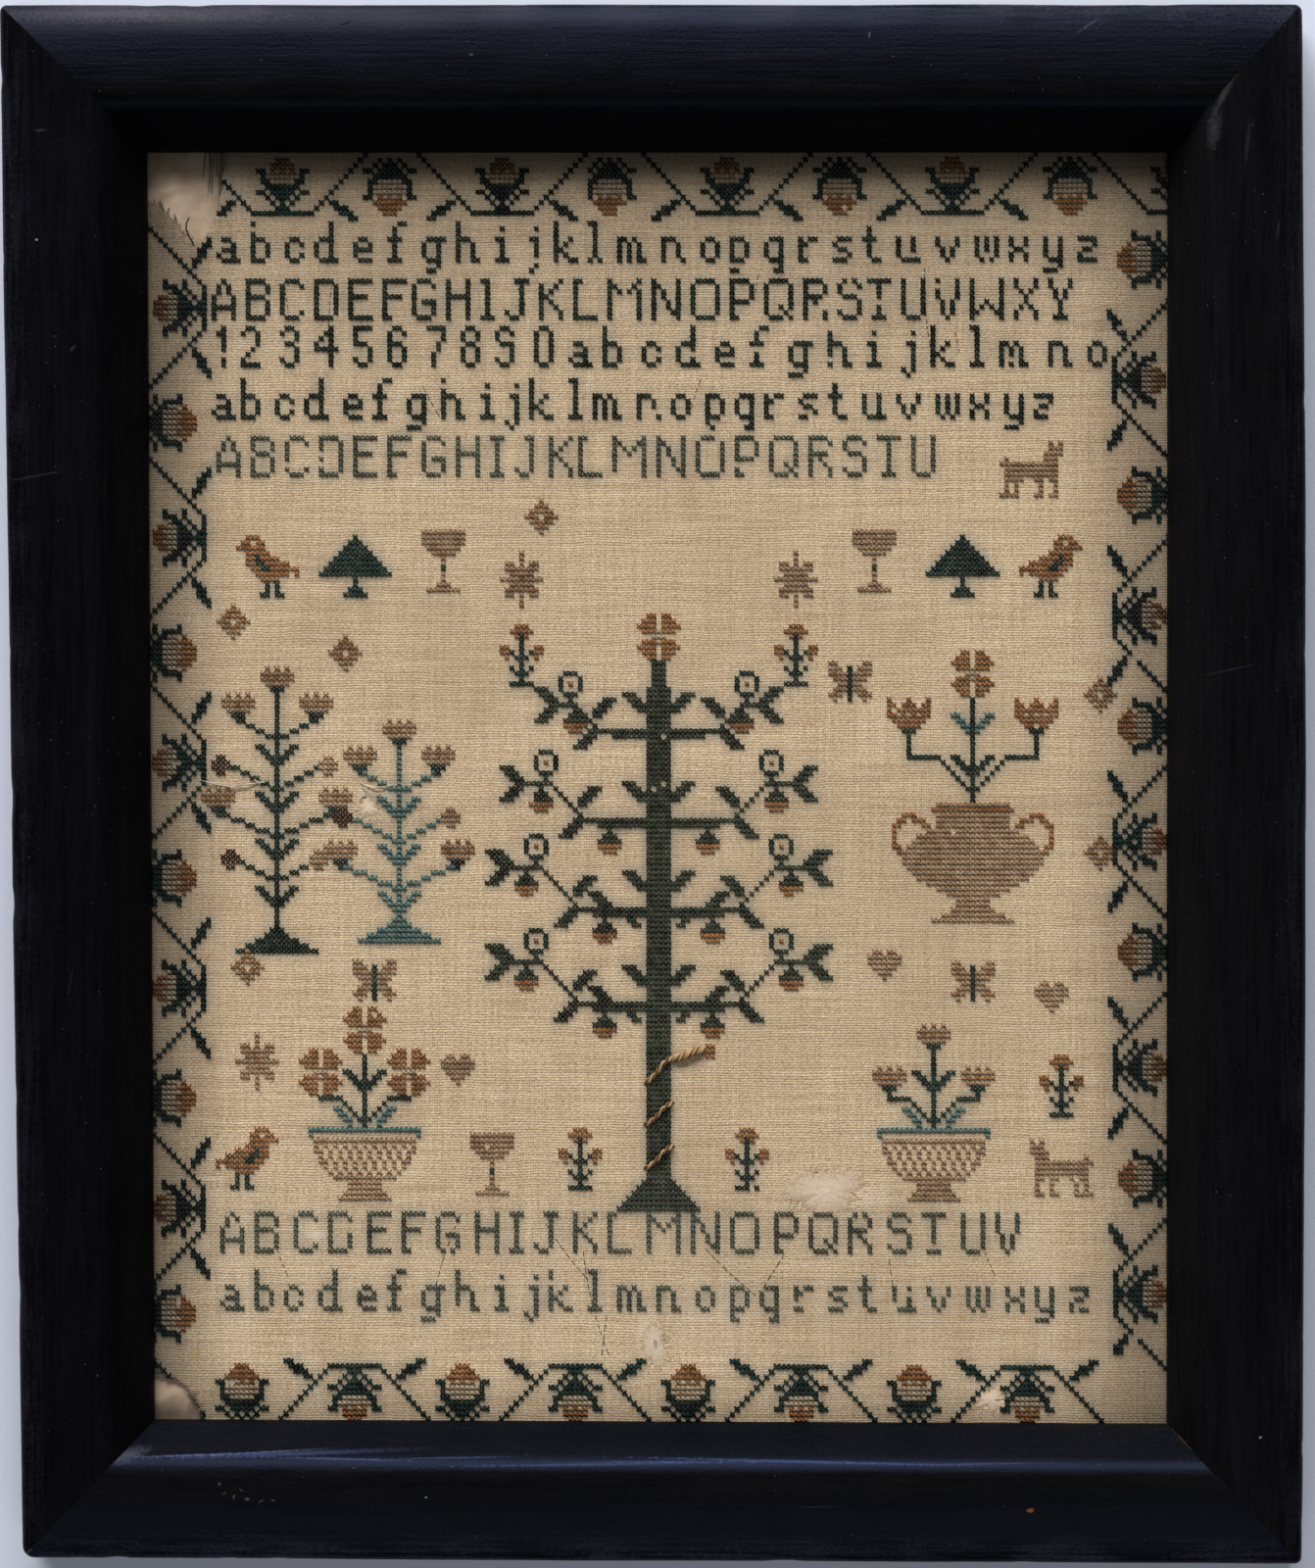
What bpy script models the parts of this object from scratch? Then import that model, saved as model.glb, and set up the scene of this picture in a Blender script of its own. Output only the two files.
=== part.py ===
"""Framed cross stitch sampler, lying on its back.

An old linen sampler in a hand-planed, black-painted frame. Four mitred rails carry a rebate. The linen
lies under their lips, on a soft cotton pad, and a thin board closes the back. Metres, +Z out of the
picture's face, +Y towards the picture's top, origin at the middle of the frame's underside.
"""

import math

import bmesh
import bpy
from mathutils import Vector

# ---- frame: real sizes in metres -------------------------------------------------------------------
FRAME_WIDTH = 0.383          # across the top, over the outer edges
FRAME_LENGTH = 0.456         # top to bottom, over the outer edges
LEFT_TAPER = 0.0092          # the left rail's outer edge leans in by this much at the bottom
RAIL_TOP = 0.0432            # rail widths, from the outer edge to the sight edge
RAIL_BOTTOM = 0.0393
RAIL_RIGHT = 0.0392
RAIL_LEFT_HIGH = 0.0429      # at the top corner
RAIL_LEFT_LOW = 0.0374       # at the bottom corner
MITRE_GAP = 0.0003           # open joint between two rails

# ---- moulding, as heights above the underside, with places as shares of the rail's width -----------
CREST_HEIGHT = 0.025
CREST_PLACE = 0.40           # from the sight edge towards the outer edge
BEVEL_PLACE = 0.20           # where the flat inner bevel starts to round over
BEVEL_SLOPE = 1.15
OUTER_DROP = 0.0070          # how far the outer slope falls from the crest
OUTER_SWELL = 1.8            # the power of the outer slope's curve: over 1 it bulges
ARRIS_RADIUS = 0.003
BACK_CHAMFER = 0.001
LEDGE_HEIGHT = 0.0085        # underside of the lip, where the cloth is held
REBATE_PLACE = 0.175
SIGHT_ROUNDING = 0.0006
CREST_STEPS = 6
SLOPE_STEPS = 8
ARRIS_STEPS = 5

# ---- what lies in the rebate, from the lip down ----------------------------------------------------
REST_GAP = 0.0003            # between two pieces that touch
SHEET_PLACE = 0.155          # how far the cloth, pad and board reach under the lip
CLOTH_THICKNESS = 0.0010
PAD_THICKNESS = 0.0020
BOARD_THICKNESS = 0.0035
BOARD_CHAMFER = 0.0006
CLOTH_CELL = 0.011           # mesh size of the uneven sheets
PAD_CELL = 0.018

# ---- the cloth's unevenness ------------------------------------------------------------------------
BELLY_HEIGHT = 0.0005        # slow waves of an old, slack sheet
WAVES = (                    # share of that height, and radians a metre across and up
    {"share": 0.5, "across": 19.0, "up": 15.0, "phase": 1.3},
    {"share": 0.3, "across": 14.0, "up": -22.0, "phase": 0.4},
    {"share": 0.2, "across": 41.0, "up": -27.0, "phase": 2.0},
)
FOLD_HEIGHT = 0.0005         # an old fold across the middle
FOLD_WIDTH = 0.010
EDGE_CALM = 0.020            # the waves die out over this distance from the lip

# ---- losses in the cloth: centre, half width, half length, and a seed for the ragged outline --------
LOSSES = {
    "middle_right": {"x": 0.0510, "y": -0.1200, "half_x": 0.0082, "half_y": 0.0058, "seed": 3},
    "lower_right": {"x": 0.0999, "y": -0.1823, "half_x": 0.0050, "half_y": 0.0026, "seed": 5},
    "centre_left": {"x": -0.0844, "y": -0.0071, "half_x": 0.0024, "half_y": 0.0028, "seed": 8},
    "lower_middle": {"x": 0.0003, "y": -0.1640, "half_x": 0.0026, "half_y": 0.0042, "seed": 13},
}
LOSS_STEPS = 18
LOSS_RAGGEDNESS = 0.14       # ripples on an outline, as a share of its reach
SLOW_RIPPLES = 3             # round one loss
QUICK_RIPPLES = 7
# The torn edge of the two lost corners, from one sight edge to the other: inwards along X, then along Y
CORNER_LOSSES = {
    "top_left": ((0.0225, 0.0), (0.0215, 0.0180), (0.0188, 0.0235), (0.0160, 0.0270), (0.0140, 0.0268),
                 (0.0110, 0.0243), (0.0080, 0.0196), (0.0045, 0.0160), (0.0, 0.0148)),
    "bottom_left": ((0.0140, 0.0), (0.0122, 0.0042), (0.0098, 0.0070), (0.0082, 0.0100), (0.0, 0.0135)),
}
CORNER_REACH = 0.012         # how far a lost corner runs on under the lip
CUTTER_REACH = 0.003


def corners(share):
    """The four corners of a frame-shaped outline, from the sight edge (0) to the outer edge (1)."""
    half_width = FRAME_WIDTH / 2
    half_length = FRAME_LENGTH / 2
    outer = {
        "top_left": Vector((-half_width, half_length)),
        "top_right": Vector((half_width, half_length)),
        "bottom_right": Vector((half_width, -half_length)),
        "bottom_left": Vector((-half_width + LEFT_TAPER, -half_length)),
    }
    inward = {
        "top_left": Vector((RAIL_LEFT_HIGH, -RAIL_TOP)),
        "top_right": Vector((-RAIL_RIGHT, -RAIL_TOP)),
        "bottom_right": Vector((-RAIL_RIGHT, RAIL_BOTTOM)),
        "bottom_left": Vector((RAIL_LEFT_LOW, RAIL_BOTTOM)),
    }
    return {name: outer[name] + inward[name] * (1 - share) for name in outer}


def moulding():
    """The rail's section as (share of the width, height), round the outside from the rebate's ledge."""
    mean_width = (RAIL_TOP + RAIL_BOTTOM) / 2
    round_rise = BEVEL_SLOPE * (CREST_PLACE - BEVEL_PLACE) * mean_width / 2
    sight_height = CREST_HEIGHT - round_rise - BEVEL_SLOPE * BEVEL_PLACE * mean_width
    points = [(0.0, LEDGE_HEIGHT), (0.0, sight_height - SIGHT_ROUNDING)]
    points.append((SIGHT_ROUNDING / mean_width, sight_height + SIGHT_ROUNDING * BEVEL_SLOPE))
    for step in range(CREST_STEPS + 1):
        share = step / CREST_STEPS
        place = BEVEL_PLACE + (CREST_PLACE - BEVEL_PLACE) * share
        points.append((place, CREST_HEIGHT - round_rise * (1 - share) ** 2))
    outer_run = (1 - CREST_PLACE) * mean_width
    lean = math.atan(OUTER_SWELL * OUTER_DROP / outer_run)
    slope_share = 1 - ARRIS_RADIUS * (1 - math.sin(lean)) / outer_run
    for step in range(1, SLOPE_STEPS + 1):
        share = slope_share * step / SLOPE_STEPS
        height = CREST_HEIGHT - OUTER_DROP * share ** OUTER_SWELL
        points.append((CREST_PLACE + (1 - CREST_PLACE) * share, height))
    arris_top = points[-1][1]
    for step in range(1, ARRIS_STEPS + 1):
        turn = lean + (math.pi / 2 - lean) * step / ARRIS_STEPS
        place = 1 - ARRIS_RADIUS * (1 - math.sin(turn)) / mean_width
        points.append((place, arris_top - ARRIS_RADIUS * (math.cos(lean) - math.cos(turn))))
    points.append((1.0, BACK_CHAMFER))
    points.append((1 - BACK_CHAMFER / mean_width, 0.0))
    points.append((REBATE_PLACE, 0.0))
    points.append((REBATE_PLACE, LEDGE_HEIGHT))
    return points


def finish(name, color, roughness):
    """A plain finish for one sub-part."""
    material = bpy.data.materials.new(name)
    material.use_nodes = True
    shader = material.node_tree.nodes["Principled BSDF"]
    shader.inputs["Base Color"].default_value = (*color, 1.0)
    shader.inputs["Roughness"].default_value = roughness
    shader.inputs["Metallic"].default_value = 0.0
    return material


def add_object(name, bm, material, smooth_angle=30):
    bmesh.ops.recalc_face_normals(bm, faces=bm.faces)
    mesh = bpy.data.meshes.new(name)
    bm.to_mesh(mesh)
    bm.free()
    mesh.shade_smooth()
    mesh.set_sharp_from_angle(angle=math.radians(smooth_angle))
    mesh.materials.append(material)
    found = bpy.data.objects.new(name, mesh)
    bpy.context.scene.collection.objects.link(found)
    return found


def build_rail(name, start, end, material):
    """One mitred length: the moulding's section at both mitres, joined along the rail."""
    section = moulding()
    outer = corners(1.0)
    along = (outer[end] - outer[start]).normalized()
    shift = along * (MITRE_GAP / 2) * math.sqrt(2)
    bm = bmesh.new()
    rings = []
    for corner, move in ((start, shift), (end, -shift)):
        ring = []
        for share, height in section:
            place = corners(share)[corner] + move
            ring.append(bm.verts.new((place.x, place.y, height)))
        rings.append(ring)
    count = len(section)
    for i in range(count):
        j = (i + 1) % count
        bm.faces.new((rings[0][i], rings[0][j], rings[1][j], rings[1][i]))
    bm.faces.new(rings[0])
    bm.faces.new(rings[1])
    return add_object(name, bm, material)


def edge_distance(x, y):
    """Distance from a point to the nearest sight edge, 0 outside the sight."""
    sight = corners(0.0)
    low = sight["bottom_left"]
    high = sight["top_right"]
    left = sight["bottom_left"].lerp(sight["top_left"], (y - low.y) / (high.y - low.y)).x
    return max(0.0, min(x - left, high.x - x, y - low.y, high.y - y))


def belly(x, y):
    """The slow waves of the soft pad and the slack cloth on it, as a height over the flat place."""
    calm = min(1.0, edge_distance(x, y) / EDGE_CALM)
    waves = 0.0
    for wave in WAVES:
        waves += wave["share"] * math.sin(wave["across"] * x + wave["up"] * y + wave["phase"])
    return BELLY_HEIGHT * calm * calm * waves


def fold(x, y):
    """The old fold that the cloth alone keeps, a low ridge across its middle."""
    calm = min(1.0, edge_distance(x, y) / EDGE_CALM)
    return FOLD_HEIGHT * calm * math.exp(-((y / FOLD_WIDTH) ** 2))


def uneven_slab(bm, cell, top, underside):
    """A closed sheet that fills the rebate. top and underside give its two heights at a point."""
    outline = corners(SHEET_PLACE)
    columns = round((outline["top_right"] - outline["top_left"]).length / cell)
    rows = 2 * round((outline["top_right"] - outline["bottom_right"]).length / cell / 2)
    layers = []
    for height in (underside, top):
        layer = []
        for row in range(rows + 1):
            left = outline["bottom_left"].lerp(outline["top_left"], row / rows)
            right = outline["bottom_right"].lerp(outline["top_right"], row / rows)
            for column in range(columns + 1):
                place = left.lerp(right, column / columns)
                layer.append(bm.verts.new((place.x, place.y, height(place.x, place.y))))
        layers.append(layer)
    wide = columns + 1
    for layer in layers:
        for row in range(rows):
            for column in range(columns):
                at = row * wide + column
                bm.faces.new((layer[at], layer[at + 1], layer[at + wide + 1], layer[at + wide]))
    rim = list(range(wide))
    rim += [row * wide + columns for row in range(1, rows + 1)]
    rim += [rows * wide + column for column in range(columns - 1, -1, -1)]
    rim += [row * wide for row in range(rows - 1, 0, -1)]
    for i, at in enumerate(rim):
        then = rim[(i + 1) % len(rim)]
        bm.faces.new((layers[0][at], layers[0][then], layers[1][then], layers[1][at]))


def ragged_outline(loss):
    """A loss's torn edge: an ellipse with a slow and a quick ripple."""
    points = []
    for step in range(LOSS_STEPS):
        turn = math.tau * step / LOSS_STEPS
        slow = math.sin(SLOW_RIPPLES * turn + loss["seed"])
        quick = math.sin(QUICK_RIPPLES * turn + 2 * loss["seed"])
        reach = 1 + LOSS_RAGGEDNESS * (slow + quick / 2)
        points.append((loss["x"] + loss["half_x"] * reach * math.cos(turn),
                       loss["y"] + loss["half_y"] * reach * math.sin(turn)))
    return points


def corner_outline(corner, torn_edge):
    """A lost corner's outline: its torn edge, closed by a square reach under the lip."""
    sight = corners(0.0)[corner]
    first_x = torn_edge[0][0]
    last_y = torn_edge[-1][1]
    reach = ((-CORNER_REACH, last_y), (-CORNER_REACH, -CORNER_REACH), (first_x, -CORNER_REACH))
    down = -1 if sight.y > 0 else 1
    return [(sight.x + x, sight.y + down * y) for x, y in torn_edge + reach]


def upright_block(outline, low, high):
    """A flat outline raised from one height to another."""
    bm = bmesh.new()
    lower = [bm.verts.new((x, y, low)) for x, y in outline]
    upper = [bm.verts.new((x, y, high)) for x, y in outline]
    bm.faces.new(lower)
    bm.faces.new(upper)
    for i in range(len(outline)):
        j = (i + 1) % len(outline)
        bm.faces.new((lower[i], lower[j], upper[j], upper[i]))
    return bm


def add_cutter(name, outline, low, high):
    """A guide that cuts one loss right through the cloth."""
    cutter = add_object(name, upright_block(outline, low, high), None)
    cutter.hide_render = True
    cutter.display_type = "WIRE"
    return cutter


def build_cloth(material):
    """The linen: one uneven sheet with its losses cut through. Gives its flat underside's height."""
    top = LEDGE_HEIGHT - REST_GAP
    underside = top - CLOTH_THICKNESS
    bm = bmesh.new()
    uneven_slab(
        bm,
        CLOTH_CELL,
        lambda x, y: top + belly(x, y) + fold(x, y),
        lambda x, y: underside + belly(x, y) + fold(x, y),
    )
    cloth = add_object("sampler_cloth", bm, material)
    outlines = {name: ragged_outline(loss) for name, loss in LOSSES.items()}
    for corner, torn_edge in CORNER_LOSSES.items():
        outlines[corner] = corner_outline(corner, torn_edge)
    for name, outline in outlines.items():
        cutter = add_cutter("loss_" + name, outline, underside - CUTTER_REACH, top + CUTTER_REACH)
        cut = cloth.modifiers.new("cut_" + name, "BOOLEAN")
        cut.operation = "DIFFERENCE"
        cut.object = cutter
    return underside


def build_pad(under_cloth, material):
    """The cotton pad: its soft top follows the cloth, its underside lies flat. Gives that height."""
    top = under_cloth - REST_GAP
    underside = top - PAD_THICKNESS
    bm = bmesh.new()
    uneven_slab(bm, PAD_CELL, lambda x, y: top + belly(x, y), lambda x, y: underside)
    add_object("mount_pad", bm, material)
    return underside


def build_board(under_pad, material):
    """The backboard: thin sawn softwood, its edges eased, set a little above the frame's underside."""
    top = under_pad - REST_GAP
    outline = [(place.x, place.y) for place in corners(SHEET_PLACE).values()]
    bm = upright_block(outline, top - BOARD_THICKNESS, top)
    bmesh.ops.bevel(bm, geom=list(bm.edges), offset=BOARD_CHAMFER, segments=1, affect="EDGES")
    add_object("backboard", bm, material)


for old in list(bpy.data.objects):
    bpy.data.objects.remove(old)

black_paint = finish("black_painted_softwood", (0.012, 0.012, 0.014), 0.38)
linen = finish("unbleached_linen", (0.52, 0.41, 0.27), 0.92)
cotton = finish("pale_cotton", (0.70, 0.62, 0.50), 0.95)
pine = finish("bare_softwood", (0.36, 0.22, 0.11), 0.75)

build_rail("rail_top", "top_left", "top_right", black_paint)
build_rail("rail_right", "top_right", "bottom_right", black_paint)
build_rail("rail_bottom", "bottom_right", "bottom_left", black_paint)
build_rail("rail_left", "bottom_left", "top_left", black_paint)
cloth_underside = build_cloth(linen)
pad_underside = build_pad(cloth_underside, cotton)
build_board(pad_underside, pine)
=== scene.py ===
import math
import random
from functools import partial

import bmesh
import bpy
from mathutils import Matrix, Vector, geometry, kdtree, noise


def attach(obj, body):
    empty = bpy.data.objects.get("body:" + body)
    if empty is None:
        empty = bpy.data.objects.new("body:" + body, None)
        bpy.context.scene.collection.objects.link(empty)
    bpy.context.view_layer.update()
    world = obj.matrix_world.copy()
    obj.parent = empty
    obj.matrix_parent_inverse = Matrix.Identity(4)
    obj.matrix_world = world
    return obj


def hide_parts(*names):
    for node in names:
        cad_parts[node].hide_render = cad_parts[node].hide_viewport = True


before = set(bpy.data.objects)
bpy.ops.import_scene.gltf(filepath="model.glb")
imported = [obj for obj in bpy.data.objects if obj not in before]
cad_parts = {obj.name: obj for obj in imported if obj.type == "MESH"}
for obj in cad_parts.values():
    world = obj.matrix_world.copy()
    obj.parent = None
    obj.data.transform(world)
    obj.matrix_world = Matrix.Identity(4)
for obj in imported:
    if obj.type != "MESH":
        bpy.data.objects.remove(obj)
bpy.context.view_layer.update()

# ---- The linen ground ----------------------------------------------------------------------------------
# One piece of plain-woven unbleached flax, about 13 threads to the centimetre, stitched through and then
# stretched under the frame's lip. It has yellowed, keeps one old fold across its middle, and is torn in six places.
OUTER_CORNERS = {"top_left": Vector((-0.191, 0.2267)), "top_right": Vector((0.1906, 0.2267)),
                 "bottom_right": Vector((0.1906, -0.228)), "bottom_left": Vector((-0.1823, -0.228))}
SIGHT_CORNERS = {"top_left": Vector((-0.1486, 0.1848)), "top_right": Vector((0.1523, 0.1848)),
                 "bottom_right": Vector((0.1523, -0.1887)), "bottom_left": Vector((-0.1449, -0.1887))}
MM = 0.001
SHEET_PLACE = 0.155          # the cloth's edge lies this share of the rail's width behind the lip
CLOTH_TOP = 0.0082
LINEN_THICKNESS = 0.0008
CLOTH_CELL = 0.0024
WARP_PITCH = 0.000722        # one thread of the linen, from side to side
WEFT_PITCH = 0.000772        # and from top to bottom: two of each lie under one cross
TORN = {
    "middle_right": {"x": 0.0523, "y": -0.121, "half_x": 0.0068, "half_y": 0.0048, "seed": 3},
    "lower_right": {"x": 0.1011, "y": -0.1821, "half_x": 0.005, "half_y": 0.0025, "seed": 5},
    "centre_left": {"x": -0.0826, "y": -0.0087, "half_x": 0.0024, "half_y": 0.0028, "seed": 8},
    "lower_middle": {"x": 0.002, "y": -0.1665, "half_x": 0.0027, "half_y": 0.0048, "seed": 13},
}
TORN_CORNERS = {             # inwards from the sight corner, across and then along
    "top_left": ((0.0222, -0.012), (0.0227, 0.0042), (0.0218, 0.0078), (0.0224, 0.0104), (0.0211, 0.0138),
                 (0.0214, 0.016), (0.0202, 0.0188), (0.0196, 0.0206), (0.0182, 0.0226), (0.0168, 0.0252),
                 (0.0159, 0.0264), (0.0138, 0.0259), (0.0122, 0.0249), (0.0104, 0.0243), (0.0086, 0.0212),
                 (0.007, 0.0191), (0.0042, 0.0164), (0.0018, 0.0152), (-0.012, 0.0142), (-0.012, -0.012)),
    "bottom_left": ((0.014, -0.012), (0.0139, 0.0009), (0.0131, 0.0035), (0.0122, 0.0052), (0.0108, 0.0062),
                    (0.0096, 0.0075), (0.0088, 0.0092), (0.008, 0.0104), (0.005, 0.0116), (0.0018, 0.0131),
                    (-0.012, 0.0141), (-0.012, -0.012)),
}


def outline_at(share):
    """The frame's four corners at a share of the rails' width, from the lip (0) to the outer edge (1)."""
    return {name: SIGHT_CORNERS[name].lerp(OUTER_CORNERS[name], share) for name in SIGHT_CORNERS}


def lip_distance(x, y):
    """How far a point of the cloth is from the nearest lip."""
    low, high = SIGHT_CORNERS["bottom_left"], SIGHT_CORNERS["top_right"]
    left = low.lerp(SIGHT_CORNERS["top_left"], (y - low.y) / (high.y - low.y)).x
    return max(0.0, min(x - left, high.x - x, y - low.y, high.y - y))


def belly(x, y):
    """The slow waves that the cloth and its backing share."""
    calm = min(1.0, lip_distance(x, y) / 0.02)
    waves = (0.5 * math.sin(19 * x + 15 * y + 1.3) + 0.3 * math.sin(14 * x - 22 * y + 0.4)
             + 0.2 * math.sin(41 * x - 27 * y + 2.0))
    return 0.0005 * calm * calm * waves


def ripple(x, y, scale, layer):
    """Smooth noise between -1 and 1, with about so many ups and downs in a metre."""
    return noise.noise(Vector((x * scale, y * scale, layer)))


def cloth_height(x, y):
    """The top of the linen: the waves, the old fold and the small puckers that the stitching draws up."""
    calm = min(1.0, lip_distance(x, y) / 0.02)
    fold = 0.0005 * calm * math.exp(-((y + 0.0015) / 0.01) ** 2)
    crease = 0.00022 * calm * math.exp(-((y + 0.0015 + 0.0006 * math.sin(45 * x)) / 0.0016) ** 2)
    pucker = noise.noise(Vector((x * 60, y * 110, 3.1))) + 0.6 * noise.noise(Vector((x * 170, y * 190, 7.7)))
    return CLOTH_TOP + belly(x, y) + fold - crease + 0.00012 * calm * pucker


def on_cloth(x, y, lift=0.0):
    """A place on the linen, or a little above it."""
    return Vector((x, y, cloth_height(x, y) + lift))


def torn_outline(hole, grow=0.0):
    """A hole's ragged edge, grown outwards by a distance: two slow ripples and the steps of broken threads."""
    points, steps = [], 44
    for step in range(steps):
        turn = math.tau * step / steps
        reach = 1 + 0.14 * (math.sin(3 * turn + hole["seed"]) + math.sin(7 * turn + 2 * hole["seed"]) / 2)
        ragged = 0.00045 * noise.noise(Vector((step * 0.9, hole["seed"], 0.5)))
        points.append(Vector((hole["x"] + ((hole["half_x"] + grow) * reach + ragged) * math.cos(turn),
                              hole["y"] + ((hole["half_y"] + grow) * reach + ragged) * math.sin(turn))))
    return points


def corner_outline(corner):
    """A lost corner's outline: its torn edge, closed by a reach under the lip."""
    sight = SIGHT_CORNERS[corner]
    down = -1 if sight.y > 0 else 1
    return [Vector((sight.x + across, sight.y + down * along)) for across, along in TORN_CORNERS[corner]]


def inside(outline, point):
    """Whether a point lies in a closed outline."""
    found = False
    for a, b in zip(outline, outline[1:] + outline[:1]):
        if (a.y > point.y) != (b.y > point.y):
            found ^= point.x < a.x + (b.x - a.x) * (point.y - a.y) / (b.y - a.y)
    return found


def put_in(name, data):
    """Puts an object with this data into the scene."""
    made = bpy.data.objects.new(name, data)
    bpy.context.scene.collection.objects.link(made)
    return made


def keep(name, mesh, material):
    """A finished piece from its mesh, riding on the one body."""
    mesh.name = name
    if material:
        mesh.materials.clear()
        mesh.materials.append(material)
    piece = put_in(name, mesh)
    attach(piece, "root")
    return piece


def mesh_from(bm, name):
    """The plain smooth mesh of a bmesh, which is then freed."""
    mesh = bpy.data.meshes.new(name)
    bm.to_mesh(mesh)
    bm.free()
    mesh.shade_smooth()
    return mesh


def settled(made, name):
    """The plain mesh that an object's modifiers give; the object is then thrown away."""
    seen = made.evaluated_get(bpy.context.evaluated_depsgraph_get())
    mesh = bpy.data.meshes.new_from_object(seen)
    bpy.data.objects.remove(made)
    mesh.name = name
    return mesh


def sheet_mesh(name, cell, height, thickness, holes, cleared, extra):
    """A closed thin sheet that fills the rebate, with its holes cut and its top at height(x, y). Inside the cleared
    outlines the even grid of points gives way to the extra ones."""
    edge = outline_at(SHEET_PLACE)
    across = round((edge["top_right"] - edge["top_left"]).length / cell)
    along = round((edge["top_right"] - edge["bottom_right"]).length / cell)
    points, rim = [], []
    for row in range(along + 1):
        left = edge["bottom_left"].lerp(edge["top_left"], row / along)
        right = edge["bottom_right"].lerp(edge["top_right"], row / along)
        for column in range(across + 1):
            place = left.lerp(right, column / across)
            if row in (0, along) or column in (0, across):
                rim.append((row, column, place))
            elif not any(inside(area, place) for area in cleared):
                points.append(place)
    order = ([p for r, c, p in rim if r == 0] + [p for r, c, p in rim if c == across and 0 < r < along]
             + [p for r, c, p in reversed(rim) if r == along]
             + [p for r, c, p in reversed(rim) if c == 0 and 0 < r < along])
    verts, edges = [], []
    for loop in [order, *holes]:
        start = len(verts)
        verts += loop
        edges += [(start + i, start + (i + 1) % len(loop)) for i in range(len(loop))]
    verts += points + list(extra)
    flat, _, faces, *_ = geometry.delaunay_2d_cdt(verts, edges, [], 0, 1e-7)
    kept = []
    for face in faces:
        middle = (flat[face[0]] + flat[face[1]] + flat[face[2]]) / 3
        if not any(inside(hole, middle) for hole in holes):
            kept.append(face)
    mesh = bpy.data.meshes.new(name)
    mesh.from_pydata([(p.x, p.y, height(p.x, p.y)) for p in flat], [], kept)
    bm = bmesh.new()
    bm.from_mesh(mesh)
    bmesh.ops.delete(bm, geom=[v for v in bm.verts if not v.link_faces], context="VERTS")
    bmesh.ops.recalc_face_normals(bm, faces=bm.faces)
    if sum(face.normal.z for face in bm.faces) < 0:
        bmesh.ops.reverse_faces(bm, faces=bm.faces)
    bm.to_mesh(mesh)
    bm.free()
    sheet = put_in(name, mesh)
    wall = sheet.modifiers.new("thickness", "SOLIDIFY")
    wall.thickness, wall.offset = thickness, -1
    made = settled(sheet, name)
    made.shade_smooth()
    return made


def linear(code):
    """An sRGB hex colour as the linear colour that a socket takes."""
    parts = [int(code[i:i + 2], 16) / 255 for i in (0, 2, 4)]
    return [p / 12.92 if p <= 0.04045 else ((p + 0.055) / 1.055) ** 2.4 for p in parts] + [1.0]


# What a word after the colon in a node's kind chooses
CHOICE = {"Math": "operation", "VectorMath": "operation", "Mix": "blend_type", "MapRange": "interpolation_type",
          "Mapping": "vector_type", "Attribute": "attribute_name"}


def add_node(tree, kind, *inputs, **named):
    """Adds a node. The plain inputs fill its live sockets in order, and a name with a capital fills the socket that
    it names; other names are settings. A node given as an input stands for its first live output."""
    kind, _, choice = kind.partition(":")
    node = tree.nodes.new(kind if "Node" in kind else "ShaderNode" + kind)
    if kind == "Mix":
        node.data_type = "RGBA"
    if choice:
        setattr(node, CHOICE[kind], choice)
    for name in [name for name in named if name.islower()]:
        setattr(node, name, named.pop(name))
    live = [socket for socket in node.inputs if socket.enabled]
    by_name = [(next(s for s in live if s.name == name.replace("_", " ")), value) for name, value in named.items()]
    for socket, value in [*zip(live, inputs), *by_name]:
        if isinstance(value, bpy.types.Node):
            value = next(s for s in value.outputs if s.enabled)
        if isinstance(value, bpy.types.NodeSocket):
            tree.links.new(value, socket)
        else:
            socket.default_value = value
    return node


def new_material(name):
    """An empty material, the function that adds to its nodes, and the piece's own coordinates."""
    material = bpy.data.materials.new(name)
    material.use_nodes = True
    material.node_tree.nodes.clear()
    add = partial(add_node, material.node_tree)
    return material, add, add("TexCoord").outputs["Object"]


def weighted(add, *parts):
    """The sum of nodes or sockets, each with its weight where it isn't 1."""
    total = None
    for part in parts:
        part = add("Math:MULTIPLY", *part) if isinstance(part, tuple) else part
        total = part if total is None else add("Math:ADD", total, part)
    return total


def finish_material(add, color, roughness, relief, strength, depth, **sockets):
    """The relief as bump, the principled shader with what is the same all over on its sockets, and the output."""
    bump = add("Bump", Height=relief, Strength=strength, Distance=depth)
    add("OutputMaterial", add("BsdfPrincipled", color, Roughness=roughness, Normal=bump, IOR=1.5, **sockets))


# Rubbed pale places: middle, half length and half width in millimetres, strength
SCUFFS = ((-97.5, -134.5, 4, 1.8, 0.6), (-99, -180, 3, 1.2, 0.65), (27, 107, 2.4, 4, 0.35),
          (-113, -8, 12, 1, 0.4), (-130, -118, 6, 0.6, 0.45), (56, -123, 18, 4.5, 0.34),
          (101, -180, 8, 4, 0.4), (0, -164, 4, 8, 0.5), (-80, -5, 6, 2.8, 0.45),
          (-123.5, 176, 5, 9.5, 0.4))

# Painted shade beside the frame's lips, the deepest along the top, mixed with the grey tone of age there; one entry
# darkens the upper half a little. Each: its axis, where it is darkest, where it ends, and how dark it is
LIP_SHADE_AND_TONING = (("X", -0.149, -0.118, 0.32), ("X", 0.153, 0.118, 0.42), ("Y", -0.189, -0.17, 0.72),
          ("Y", 0.186, 0.09, 0.74), ("Y", 0.1845, 0.174, 0.28), ("Y", 0.12, -0.12, 0.92))


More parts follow.
